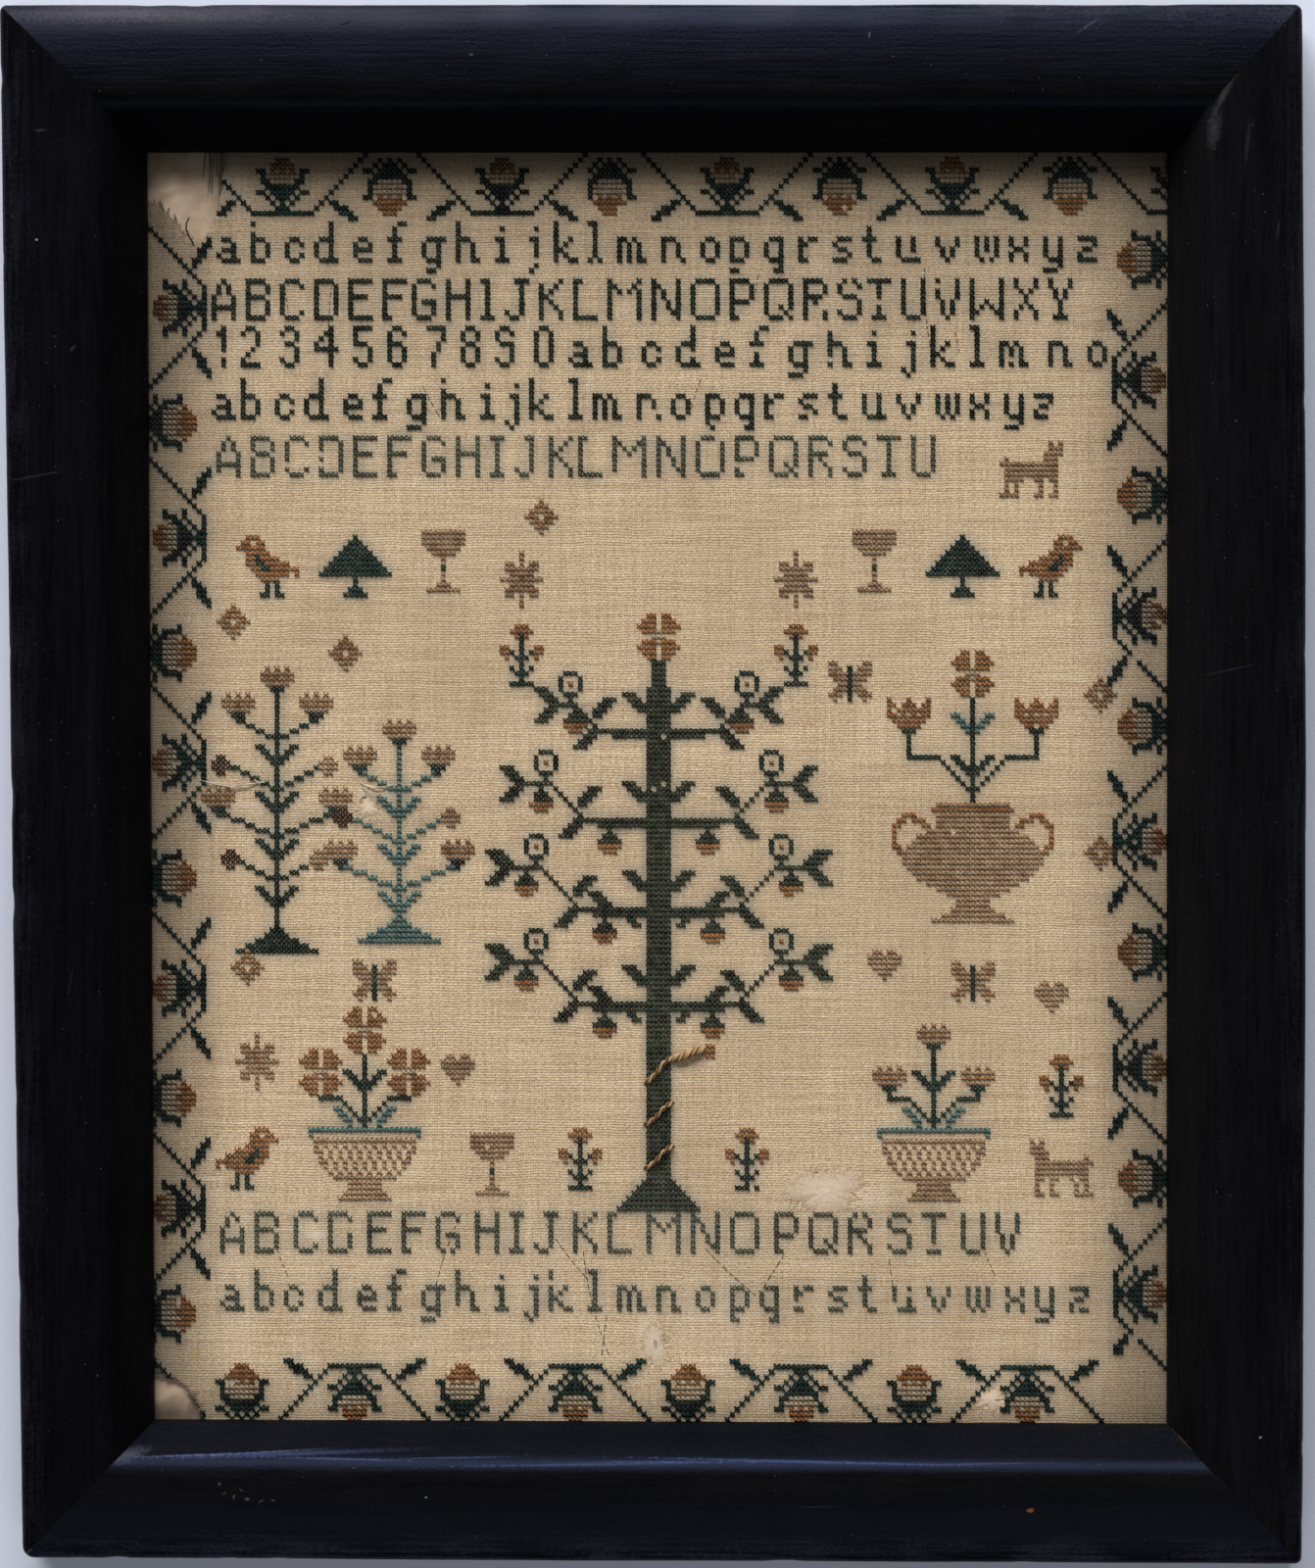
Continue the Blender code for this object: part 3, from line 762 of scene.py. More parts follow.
# The right side: a pot of flowers over a basket. The left: two slender plants over a basket and a lamb.
chart(POT, POT_AXIS, 124)
stem([(POT_AXIS, 123), (POT_AXIS, 104)])
chart(ROSE, POT_AXIS, 95)
for hand in (-1, 1):
    stem([(POT_AXIS + hand * off, row) for off, row in ((1, 121), (7, 115), (13, 115), (13, 111))])
    chart(TULIP, POT_AXIS + hand * 13, 104)
    leaf(POT_AXIS, 118, hand)
    leaf(POT_AXIS, 110, hand, "p")
flower_basket(160, 186, PINK)
rose_tree(26, 104, 148)
rose_tree(51, 114, 146, "p")
flower_basket(44, 186, ROSE)
for column, row, motif in ((76, 90, SPRIG), (132, 90, SPRIG), (143, 97, BUTTERFLY), (20, 152, DIAMOND),
                           (46, 154, BUTTERFLY), (168, 154, BUTTERFLY), (194, 100, DIAMOND), (17, 86, DIAMOND),
                           (88, 186, SPRIG), (122, 186, SPRIG), (186, 172, SPRIG), (80, 66, DIAMOND),
                           (40, 92, DIAMOND), (194, 130, DIAMOND), (186, 188, LAMB), (70, 187, GOBLET),
                           (115, 170, ("rr", "rr", "rr"))):
    chart(motif, column, row)
for column, row, motif, swap in ((184, 158, HEART, "rn"), (150, 152, HEART, "rn"), (63, 172, HEART, "rn"),
                                 (22, 168, STAR, "rb")):
    chart(motif, column, row, swap=swap)
chart(BIRD, 20, 186, flip=True)
chart(LAMB, 180, 55, flip=True)
for square in sorted(field):
    if lost.random() < 0.004:
        del field[square]

MAROON_YARN = yarn_material("cochineal_and_iron_dark_wool", "2a1210", "4a241c")
for seed, (name, yarns, wool, slot) in enumerate((
        ("tree_green", "T", TREE_YARN, "green_yarn"), ("motif_green", "g", GREEN_YARN, "green_yarn"),
        ("motif_pale_green", "p", PALE_GREEN_YARN, "green_yarn"), ("motif_rust", "rb", RUST_YARN, "brown_yarn"),
        ("motif_tan", "n", TAN_YARN, "tan_yarn"), ("motif_cream", "c", CREAM_YARN, "cream_yarn"),
        ("motif_berries", "k", MAROON_YARN, "brown_yarn")), start=11):
    width = 0.18 if slot == "green_yarn" else 0.145
    stitch(name, [square for square, yarn in field.items() if yarn in yarns], wool, slot, Seed=seed, Yarn_Width=width)

# ---- Frayed threads and carried yarn -----------------------------------------------------------------------
# Short fringes of broken linen along the lost corners, one dark end standing up, faint dashes where yarn was carried
# behind the cloth, the twisted cord on the trunk and the cotton that has worked up through the holes.
def thread_tree():
    """The nodes that turn lines into thin round threads."""
    tree, add, given = new_tree("threads_on_lines", "Yarn", seeded=False, Thread_Radius=0.00016)
    line = add("GeometryNodeMeshToCurve", given["Geometry"])
    ring = add("GeometryNodeCurvePrimitiveCircle", 4, given["Thread Radius"], mode="RADIUS")
    tube = add("GeometryNodeCurveToMesh", line, ring, Fill_Caps=True)
    finish_tree(add, add("GeometryNodeSetShadeSmooth", tube), given["Yarn"])
    return tree


THREAD_TREE = thread_tree()
COTTON_TOP = 0.0069
chance = random.Random(29)


def loose_line(start, end, sag, bend, steps=5):
    """A slack thread between two points, sagging towards the backing and bent sideways."""
    side = Vector((end.y - start.y, start.x - end.x, 0)).normalized()
    points = []
    for step in range(steps + 1):
        share = step / steps
        hump = math.sin(math.pi * share)
        point = start.lerp(end, share) + side * bend * hump
        point.z -= sag * hump
        points.append(point)
    return points


def edge_threads(corner, first, last, length, way):
    """A fringe along part of a lost corner's torn edge: broken threads that point one way, in degrees."""
    outline = corner_outline(corner)
    along = Vector((math.cos(math.radians(way)), math.sin(math.radians(way)), 0))
    lines = []
    for a, b in zip(outline[first:last], outline[first + 1:last + 1]):
        count = max(1, round((b - a).length / 0.0008))
        for i in range(count):
            place = a.lerp(b, (i + chance.random()) / count)
            start = on_cloth(place.x, place.y, -0.0003) - along * 0.0004
            end = start + along * length * (0.25 + 0.75 * chance.random())
            end += Vector([chance.uniform(-0.0006, 0.0006) for _ in "xy"] + [0])
            end.z = COTTON_TOP + chance.uniform(0.0006, 0.0018)
            lines.append(loose_line(start, end, 0.0, chance.uniform(-0.0006, 0.0006)))
    return lines


def threads(name, lines, material, radius):
    """Makes lines into one piece of thin threads."""
    points, edges = [], []
    for line in lines:
        edges += [(len(points) + i, len(points) + i + 1) for i in range(len(line) - 1)]
        points += line
    piece = keep(name, grown(name, points, THREAD_TREE, material, edges, Thread_Radius=radius), material)


LINEN_THREAD = yarn_material("single_linen_thread", "b49a76", "e0cfae", patch=90.0, shade=1.0)
frayed = edge_threads("top_left", 11, 17, 0.0028, 97) + edge_threads("bottom_left", 1, 9, 0.001, 184)
# Beside the first corner only upright threads are left of the weave, fewer and fewer away from it
for number in range(8):
    x = -0.126 - 0.0005 * number - 0.00004 * number ** 2 + chance.uniform(-0.0001, 0.0001)
    low = 0.179 - chance.uniform(0.0, 0.013) * (1 - number / 14)
    frayed.append(loose_line(Vector((x, 0.187, COTTON_TOP + 0.0005)),
                             Vector((x + chance.uniform(-0.0014, 0.0002), low, COTTON_TOP + 0.0008)), 0.0001,
                             chance.uniform(-0.0004, 0.0004), 8))
for x0, y0, x1, y1 in ((-0.085, -0.0012, -0.0776, -0.003), (-0.0846, -0.0024, -0.079, -0.0046),
                       (-0.0832, -0.002, -0.076, -0.002), (-0.1166, -0.0002, -0.113, -0.001),
                       (-0.1325, -0.0005, -0.118, -0.0028), (-0.129, -0.0012, -0.115, -0.0014)):
    frayed.append(loose_line(on_cloth(x0, y0, 0.0002), on_cloth(x1, y1, 0.0002), -0.0006, 0.0006, 8))
threads("frayed_linen_threads", frayed, LINEN_THREAD, 0.00017)

end_of_yarn = [Vector(p) for p in ((-0.1348, 0.1574, 0.0084), (-0.1353, 0.1587, 0.009), (-0.1364, 0.1603, 0.0097),
                                   (-0.1369, 0.162, 0.0101), (-0.1368, 0.1638, 0.01), (-0.1361, 0.1654, 0.0095))]
threads("loose_green_end", [end_of_yarn], GREEN_YARN, 0.00022)

# A cord twisted from gold and brown lies over the trunk in three slanting passes: each goes down through the cloth on
# either side, and the first runs on to the right, where it is five strands thick
passes = ((0.0075, -0.0815, -0.0013, -0.0895, 0.00042, 2), (0.0076, -0.095, -0.0012, -0.1018, 0.00042, 2),
          (0.0077, -0.1078, -0.0011, -0.1146, 0.00042, 2), (0.0168, -0.08, 0.0066, -0.082, 0.0008, 5))
CORD_STEPS, CORD_TURN = 32, 0.004      # the length of one full twist in metres
cord = {"gold": [], "brown": []}
for x0, y0, x1, y1, ply, strands in passes:
    side = Vector((y1 - y0, x0 - x1)).normalized() * ply
    for number in range(strands):
        strand = []
        for step in range(CORD_STEPS + 1):
            share = step / CORD_STEPS
            x, y = x0 + (x1 - x0) * share, y0 + (y1 - y0) * share + 0.0005 * math.sin(math.tau * share)
            twist = math.tau * (number / strands + share * math.hypot(x1 - x0, y1 - y0) / CORD_TURN)
            lift = 0.0012 * min(1.0, 6 * share, 6 * (1 - share)) - 0.0003
            strand.append(Vector((x + side.x * math.cos(twist), y + side.y * math.cos(twist),
                                  cloth_height(x, y) + lift + 0.7 * ply * math.sin(twist))))
        cord["brown" if number % 2 else "gold"].append(strand)
threads("couched_cord_gold", cord["gold"], GOLD_YARN, 0.00042)
threads("couched_cord_brown", cord["brown"], yarn_material("dark_brown_silk", "563820", "86603a", shade=1.0),
        0.00042)

carried = []
for x, y, turn, length in ((-0.108, 0.1465, -84, 0.007), (-0.094, 0.1455, -97, 0.01), (-0.04, 0.1478, -70, 0.009),
                           (0.032, 0.149, -101, 0.008), (0.081, 0.151, -92, 0.024), (0.09, 0.132, -80, 0.006),
                           (-0.067, 0.116, -64, 0.01), (0.015, 0.118, -110, 0.009), (0.058, 0.101, -78, 0.007),
                           (-0.055, -0.128, -115, 0.022), (-0.03, -0.131, -58, 0.018), (-0.019, -0.139, -84, 0.03),
                           (0.017, -0.138, -48, 0.02), (0.04, -0.14, -125, 0.012), (0.071, -0.141, -84, 0.01),
                           (0.098, -0.136, -70, 0.01), (-0.11, -0.136, -72, 0.012), (-0.012, -0.158, -100, 0.012)):
    run = 0.0
    while run < length:
        bit = chance.uniform(0.0009, 0.0022)
        ends = []
        for reach in (run, run + bit):
            angle = math.radians(turn + 260 * reach)
            px, py = x + reach * math.cos(angle), y + reach * math.sin(angle)
            ends.append(on_cloth(px, py, 0.00004))
        carried.append(ends)
        run += bit + chance.uniform(0.0005, 0.0013)
threads("carried_yarn_dashes", carried, LETTER_YARN, 0.00011)


def tuft_material():
    """Loose cotton, carded by wear: matt and whitish, it thins towards its edge until the linen's colour shows."""
    material, add, place = new_material("loose_white_cotton")
    strands = add("TexNoise", add("Mapping", place, Scale=(420.0, 1500.0, 400.0)), 1.0, 4.0, 0.7)
    lumps = weighted(add, strands, add("TexNoise", place, 500.0, 4.0, 0.6))
    cotton = add("Mix", add("MapRange", lumps, 0.75, 1.25), linear("d8ba94"), linear("f2d8b4"))
    knots = add("TexNoise", add("Mapping", place, Scale=(1100.0, 1500.0, 1.0)), 1.0, 2.0)
    ground = add("Mix", add("MapRange", knots, 0.35, 0.65), linear("ae8c62"), linear("e6c69a"))
    bare = add("MapRange", weighted(add, add("Attribute:thin").outputs["Fac"], lumps), 1.22, 1.86)
    finish_material(add, add("Mix", bare, cotton, ground), 0.95, lumps, 0.3, 0.0001, Specular_IOR_Level=0.1,
                    Sheen_Weight=0.1, Sheen_Roughness=0.6)
    return material


# Soft tufts of the backing have worked up through the four holes. Each is a low mound, half_x by half_y by height,
# that sinks into the torn edge all round
TUFTS = {"middle_right": (0.0132, 0.008, 0.00036), "lower_right": (0.0054, 0.004, 0.00034),
         "lower_middle": (0.0044, 0.0078, 0.0003), "centre_left": (0.0034, 0.0034, 0.00028)}
TUFT_STEPS, TUFT_RINGS = 72, 16
bm = bmesh.new()
thin = bm.verts.layers.float.new("thin")
for hole, (wide, tall, high) in TUFTS.items():
    middle = Vector((TORN[hole]["x"], TORN[hole]["y"]))
    for side in (1, -1):
        loops = [[bm.verts.new(on_cloth(*middle, high if side > 0 else -0.0004))]]
        for ring in range(1, TUFT_RINGS + 1):
            loop = []
            for step in range(TUFT_STEPS):
                turn, share = math.tau * step / TUFT_STEPS, ring / TUFT_RINGS
                uneven = noise.noise(Vector((math.cos(turn) * 2.5, math.sin(turn) * 2.5, wide * 300)))
                reach = share * (1 + 0.14 * math.sin(3 * turn + wide * 900) + 0.36 * uneven)
                x, y = middle.x + wide * reach * math.cos(turn), middle.y + tall * reach * math.sin(turn)
                soft = 0.00008 * ripple(x, y, 260, 4.0) + 0.00006 * ripple(x, y, 800, 6.0)
                rise = high * (1 - share ** 2) ** 1.5 - 0.00004 - 0.00006 * share ** 6 + soft * (1 - share)
                loop.append(bm.verts.new(on_cloth(x, y, rise if side > 0 else -0.0004)))
                loop[-1][thin] = share
            loops.append(loop)
        for step in range(TUFT_STEPS):
            bm.faces.new((loops[0][0], loops[1][step], loops[1][(step + 1) % TUFT_STEPS])[::side])
        for inner, outer in zip(loops[1:], loops[2:]):
            for step in range(TUFT_STEPS):
                then = (step + 1) % TUFT_STEPS
                bm.faces.new((inner[step], outer[step], outer[then], inner[then])[::side])
        if side > 0:
            upper = loops[-1]
    for step in range(TUFT_STEPS):
        then = (step + 1) % TUFT_STEPS
        bm.faces.new((upper[step], loops[-1][step], loops[-1][then], upper[then]))
tufts = keep("cotton_tufts", mesh_from(bm, "cotton_tufts"), tuft_material())

# Single fibres lie over the edges of the tufts
fluff = []
for hole, (wide, tall, _) in TUFTS.items():
    for _ in range(round(1.5e6 * wide * tall)):
        turn, reach = chance.uniform(0, math.tau), chance.uniform(0.35, 0.85)
        x, y = TORN[hole]["x"] + wide * reach * math.cos(turn), TORN[hole]["y"] + tall * reach * math.sin(turn)
        length, way = chance.uniform(0.001, 0.003), turn + chance.gauss(0.0, 0.5)
        start = on_cloth(x, y, 0.00012)
        end = start + Vector((length * math.cos(way), length * math.sin(way), 0))
        fluff.append(loose_line(start, on_cloth(end.x, end.y, 0.00002), -0.00004, chance.uniform(-0.0003, 0.0003), 4))
threads("cotton_fluff", fluff, yarn_material("loose_cotton_fibre", "cdae88", "e6cba4", patch=200.0, shade=1.0),
        0.00005)

# The linen takes the bled dye from the stitches around each of its points
near = kdtree.KDTree(len(dyed))
for index, place in enumerate(dyed):
    near.insert(place, index)
near.balance()
linen.data.attributes.new("dye", "FLOAT", "POINT").data.foreach_set(
    "value", [min(1.0, 0.13 * len(near.find_range(vert.co, 0.003))) for vert in linen.data.vertices])

# ---- The cotton backing ----------------------------------------------------------------------------------
# A loose piece of soft bleached cotton between the linen and the board. It shows white through the holes, puffs up a
# little in the lost corners and is creased there.
COTTON_CELL, COTTON_THICKNESS = 0.007, 0.0018
# Each crease: its two ends, its width and its rise
CREASES = (((-0.145, 0.1725), (-0.1385, 0.1748), 0.001, 0.00045), ((-0.147, 0.1668), (-0.1405, 0.17), 0.0012, 0.0003),
           ((-0.1335, 0.176), (-0.13, 0.169), 0.0014, 0.00035),
           ((-0.1362, -0.1884), (-0.1352, -0.1838), 0.0008, 0.0005),
           ((-0.144, -0.184), (-0.14, -0.1815), 0.001, 0.0003))


def cotton_height(x, y):
    """The top of the backing: the shared waves, soft creases and a puff where no linen holds it down."""
    height = COTTON_TOP + belly(x, y) + 0.0001 * ripple(x, y, 120, 1.7)
    for start, end, width, rise in CREASES:
        a, b, p = Vector(start), Vector(end), Vector((x, y))
        share = max(0.0, min(1.0, (p - a).dot(b - a) / (b - a).length_squared))
        height += rise * math.exp(-((p - a.lerp(b, share)).length / width) ** 2)
    for hole in TORN.values():
        far = math.hypot((x - hole["x"]) / hole["half_x"], (y - hole["y"]) / hole["half_y"])
        height += 0.0016 * math.exp(-(1.15 * far) ** 4)
    for at_x, at_y, reach in ((-0.139, 0.174, 0.0085), (-0.1415, -0.1835, 0.005)):
        height += 0.0012 * math.exp(-(math.hypot(x - at_x, y - at_y) / reach) ** 2)
    return height


# The puffed and creased places have finer points than the rest of the sheet
fine_points = [Vector((-0.149 + 0.001 * i, low + 0.001 * j))
               for i in range(24) for low, tall in ((0.156, 29), (-0.1885, 15)) for j in range(tall)]
fine_points += [Vector((hole["x"] + 0.0008 * i, hole["y"] + 0.0008 * j)) for hole in TORN.values()
                for i in range(-12, 13) for j in range(-12, 13)]
boxes = [[Vector(p) for p in ((-0.1495, low), (-0.1255, low), (-0.1255, high), (-0.1495, high))]
         for low, high in ((0.1552, 0.1855), (-0.189, -0.1735))]
boxes += [[Vector((hole["x"] + 0.01 * a, hole["y"] + 0.01 * b)) for a, b in ((-1, -1), (1, -1), (1, 1), (-1, 1))]
          for hole in TORN.values()]


def cotton_material():
    """Bleached plain cotton, softly matt. Its weave, 25 threads to the centimetre, is drawn at twice its size.
    Painted shade darkens it beside the lips and towards the torn linen's edge in the top corner.
    """
    material, add, place = new_material("bleached_plain_cotton")
    weave = add("TexVoronoi", place, 1250.0, Randomness=0.35)
    soft = add("TexNoise", place, 160.0, 3.0)
    share = add("MapRange", soft, 0.35, 0.7)
    color = add("Mix", share, linear("dcbc98"), linear("be9c76"))
    # Painted shade beside the lips and beside the torn linen's edge
    color = shaded_and_toned(add, place, color, (("Y", 0.185, 0.171, 0.36), ("Y", -0.189, -0.175, 0.36),
                                      ("X", -0.149, -0.14, 0.66), ("X", -0.124, -0.133, 0.74)))
    finish_material(add, color, 0.9, weave, 0.35, 0.0001, Specular_IOR_Level=0.2, Sheen_Weight=0.1,
                    Sheen_Roughness=0.6)
    return material


cotton = keep("cotton_backing", sheet_mesh("cotton_backing", COTTON_CELL, cotton_height, COTTON_THICKNESS, (), boxes,
                                           fine_points), cotton_material())
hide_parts("mount_pad")

# ---- The four rails --------------------------------------------------------------------------------------
# Hand-planed softwood moulding, mitred and glued, with a rebate behind. Inside, a steep flat bevel drops from a
# rounded crest to the lip; outside, it swells gently down to a rubbed arris. It is painted black where it shows.
CREST_HEIGHT = 0.025
LEDGE_HEIGHT = 0.0085
MEAN_WIDTH = 0.04125
BEVEL_SLOPE = 1.266
BEVEL_PLACE, CREST_PLACE, REBATE_PLACE = 0.18, 0.365, 0.175
OUTER_DROP, OUTER_SWELL = 0.006, 1.8
ARRIS = 0.003
MITRE_GAP = 0.00003          # left at each end of a rail


def rail_section():
    """The moulding as (share of the width, height, whether it is painted), round from the lip's foot."""
    round_rise = BEVEL_SLOPE * (CREST_PLACE - BEVEL_PLACE) * MEAN_WIDTH / 2
    lip_top = CREST_HEIGHT - round_rise - BEVEL_SLOPE * BEVEL_PLACE * MEAN_WIDTH
    section = [(0.0, LEDGE_HEIGHT), (0.0, 0.0092), (0.0, lip_top - 0.0006), (0.004, lip_top - 0.0001),
               (0.0145, lip_top + 0.0007)]
    section += [(s, lip_top + BEVEL_SLOPE * s * MEAN_WIDTH) for s in (0.03, 0.06, 0.09, 0.12, 0.15)]
    section += [(BEVEL_PLACE + (CREST_PLACE - BEVEL_PLACE) * i / 10, CREST_HEIGHT - round_rise * (1 - i / 10) ** 2)
                for i in range(11)]
    run = (1 - CREST_PLACE) * MEAN_WIDTH
    slope = math.atan(OUTER_SWELL * OUTER_DROP / run)
    end = 1 - ARRIS * (1 - math.sin(slope)) / run
    for i in range(1, 15):
        share = end * i / 14
        section.append((CREST_PLACE + (1 - CREST_PLACE) * share, CREST_HEIGHT - OUTER_DROP * share ** OUTER_SWELL))
    top = section[-1][1]
    for i in range(1, 8):
        turn = slope + (math.pi / 2 - slope) * i / 7
        section.append((1 - ARRIS * (1 - math.sin(turn)) / MEAN_WIDTH,
                        top - ARRIS * (math.cos(slope) - math.cos(turn))))
    foot = section[-1][1]
    section += [(1.0, 0.001 + (foot - 0.001) * (1 - i / 6)) for i in range(1, 7)]
    painted = len(section)
    section += [(1 - 0.001 / MEAN_WIDTH, 0.0)]
    section += [(REBATE_PLACE + (0.976 - REBATE_PLACE) * i / 8, 0.0) for i in range(8, -1, -1)][1:]
    section += [(REBATE_PLACE, 0.004), (REBATE_PLACE, LEDGE_HEIGHT), (0.09, LEDGE_HEIGHT)]
    return [(share, height, i < painted) for i, (share, height) in enumerate(section)]


SECTION = rail_section()
CORNER_WEAR = {"top_left": 0.0022, "top_right": 0.0022, "bottom_right": 0.002, "bottom_left": 0.0034}


def worn_place(x, y, share, height, outward, bow, free):
    """Where a point of the planed rail ends up after the plane's waves, knocks on the arris and rubbed corners. Near
    its ends it is less free to move sideways, so that the mitres meet."""
    top = max(0.0, min(1.0, (height - 0.012) / 0.006))
    slow = ripple(x, y, 24, 5.0)
    quick = ripple(x, y, 75, 9.0)
    lift = top * min(1.0, share / 0.12) * (0.0003 * slow + 0.00012 * quick)
    edge = max(0.0, (share - 0.9) / 0.1) * top
    knock = max(0.0, ripple(x, y, 95, 2.0) - 0.32) * 0.001 * edge
    push = share * share * bow + free * (0.00018 * share * slow * (1 if height > 0.002 else 0) - knock)
    x, y = x + outward.x * push, y + outward.y * push
    for name, wear in CORNER_WEAR.items():
        corner = OUTER_CORNERS[name]
        in_x, in_y = (wear if corner.x < 0 else -wear), (wear if corner.y < 0 else -wear)
        dx, dy = x - (corner.x + in_x), y - (corner.y + in_y)
        if dx * in_x < 0 and dy * in_y < 0:
            shrink = max(abs(dx), abs(dy)) / math.hypot(dx, dy)
            x, y = corner.x + in_x + dx * shrink, corner.y + in_y + dy * shrink
    return Vector((x, y, max(0.0, height + lift - knock)))


def rail_mesh(name, start, end, steps, bow):
    """One rail between two corners of the frame, its ends cut to the mitres, with the rubbed places marked."""
    bm = bmesh.new()
    rub, outer = (bm.verts.layers.float.new(layer) for layer in ("rub", "outer"))
    outward = (OUTER_CORNERS[start] + OUTER_CORNERS[end]) / 2 - (SIGHT_CORNERS[start] + SIGHT_CORNERS[end]) / 2
    outward.normalize()
    length = (OUTER_CORNERS[end] - OUTER_CORNERS[start]).length
    close = [0.0006 * i / length for i in range(11)]
    between = [close[-1] + (1 - 2 * close[-1]) * i / steps for i in range(1, steps)]
    stations = close + between + [1 - at for at in reversed(close)]
    rows = []
    for station in stations:
        row = []
        for share, height, _ in SECTION:
            a = SIGHT_CORNERS[start].lerp(OUTER_CORNERS[start], share)
            b = SIGHT_CORNERS[end].lerp(OUTER_CORNERS[end], share)
            inset = MITRE_GAP / (b - a).length
            along = inset + (1 - 2 * inset) * station
            place = a.lerp(b, along)
            bend = bow * (1 - (2 * along - 1) ** 2)
            free = min(1.0, min(along, 1 - along) * length / 0.02)
            vert = bm.verts.new(worn_place(place.x, place.y, share, height, outward, bend, free))
            arris = math.exp(-((share - 0.985) / 0.022) ** 2) if height > 0.01 else 0.0
            vert[rub] = arris + 0.35 * math.exp(-((share - 0.004) / 0.01) ** 2)
            vert[outer] = max(0.0, (share - 0.75) / 0.25) if height > 0.005 else 0.0
            row.append(vert)
        rows.append(row)
    count = len(SECTION)
    for row, then in zip(rows, rows[1:]):
        for i in range(count):
            j = (i + 1) % count
            face = bm.faces.new((row[i], row[j], then[j], then[i]))
            face.material_index = 0 if SECTION[i][2] and SECTION[j][2] else 1
    for row in (rows[0], rows[-1]):
        bm.faces.new(row).material_index = 1
    bmesh.ops.recalc_face_normals(bm, faces=bm.faces)
    mesh = mesh_from(bm, name)
    mesh.set_sharp_from_angle(angle=math.radians(38))
    return mesh


def grained(add, place, lengthwise, stretch, detail, rough=0.5, scale=1.0, **sockets):
    """Noise drawn out along the x or the y of a rail or board."""
    along, across, deep = stretch
    stretch = (along, across, deep) if lengthwise == "x" else (across, along, deep)
    return add("TexNoise", add("Mapping", place, Scale=stretch), scale, detail, rough, **sockets)


# Old black oil paint, brushed along the rail and dulled by wear: brush lines and the wood's grain stand in it as long
# low ridges. It is rubbed through to brown on the arris, bloomed grey in the outer band and has chips from knocks.
# Some listed marks paint a highlight along the bottom rail's crest and shade on its bevel.
def black_paint(name, lengthwise, deep, pale, bloom, marks):
    material, add, place = new_material(name)
    brush = grained(add, place, lengthwise, (40.0, 900.0, 700.0), 3.0, 0.6)
    grain = grained(add, place, lengthwise, (12.0, 150.0, 120.0), 5.0, 0.7)
    patch = add("TexNoise", place, 45.0, 4.0)
    ragged = add("TexNoise", place, 900.0, 4.0, 0.7)
    tone = add("MapRange", weighted(add, grain, weighted(add, ragged, brush)), 1.1, 1.9)
    color = add("Mix", tone, linear(deep), linear(pale))
    bloomed = add("MapRange", weighted(add, ragged, patch, brush), 1.38, 1.74, 0.0, bloom)
    color = add("Mix", add("Math:MULTIPLY", bloomed, add("Attribute:outer").outputs["Fac"]), color, linear("5c5a66"))
    # A few pale flecks of dust under half a millimetre
    fleck = add("TexNoise", place, 1100.0, 1.0)
    dust = add("MapRange", weighted(add, fleck, (patch, 0.1)), 0.835, 0.87, 0.0, 0.4)
    color = add("Mix", dust, color, linear("77777a"))
    rubbed = add("Math:MULTIPLY", add("Attribute:rub").outputs["Fac"], weighted(add, patch, brush))
    worn = add("MapRange", rubbed, 1.0, 1.2, 0.0, 0.6)
    color = add("Mix", worn, color, linear("3c3028"))
    chips_and_painted_light = 0.0
    # Knocks, scratches and chips, and on the bottom rail painted highlight and painted shade; each dents the relief
    for x, y, half_length, half_width, turn, shade, strength, soft in marks:
        local = add("Mapping:TEXTURE", place, Location=(x * MM, y * MM, 0.02),
                    Rotation=(0, 0, math.radians(turn)), Scale=(half_length * MM, half_width * MM, 1.0))
        rough_edge = weighted(add, add("VectorMath:LENGTH", local), (ragged, 2.2))
        mark = add("MapRange", rough_edge, 1.8 + soft, 1.65 - soft, 0.0, strength)
        color = add("Mix", mark, color, linear(shade))
        chips_and_painted_light = add("Math:MAXIMUM", mark, chips_and_painted_light)
    gloss = weighted(add, add("MapRange", weighted(add, brush, patch), 0.8, 1.2, 0.26, 0.44), (worn, 0.3))
    relief = weighted(add, (brush, 0.7), (grain, 1.2), (ragged, 0.9), (chips_and_painted_light, -1.0))
    finish_material(add, color, gloss, relief, 0.7, 0.00028, Specular_IOR_Level=0.044,
                    Specular_Tint=(0.36, 0.5, 1.0, 1.0), Coat_Weight=0.018, Coat_Roughness=0.2,
                    Coat_Tint=(0.62, 0.74, 1.0, 1.0))
    return material


def bare_softwood(name, lengthwise, pale, dark):
    """Old bare pine, sawn and left: wavy year rings 3 mm apart run with the length, and it has darkened unevenly."""
    material, add, place = new_material(name)
    rings = grained(add, place, lengthwise, (4.0, 60.0, 60.0), 2.0, scale=4.0, Distortion=0.5)
    lines = add("Math:SINE", add("Math:MULTIPLY", rings, 34.0))
    both = weighted(add, (lines, 0.22), grained(add, place, lengthwise, (32.0, 1320.0, 900.0), 3.0))
    color = add("Mix", add("MapRange", both, 0.25, 0.85), linear(pale), linear(dark))
    dirt = add("MapRange", add("TexNoise", place, 22.0, 4.0), 0.48, 0.72, 0.0, 0.5)
    color = add("Mix", dirt, color, linear("3a2c20"))
    finish_material(add, color, 0.85, both, 0.5, 0.0003, Specular_IOR_Level=0.3)
    return material


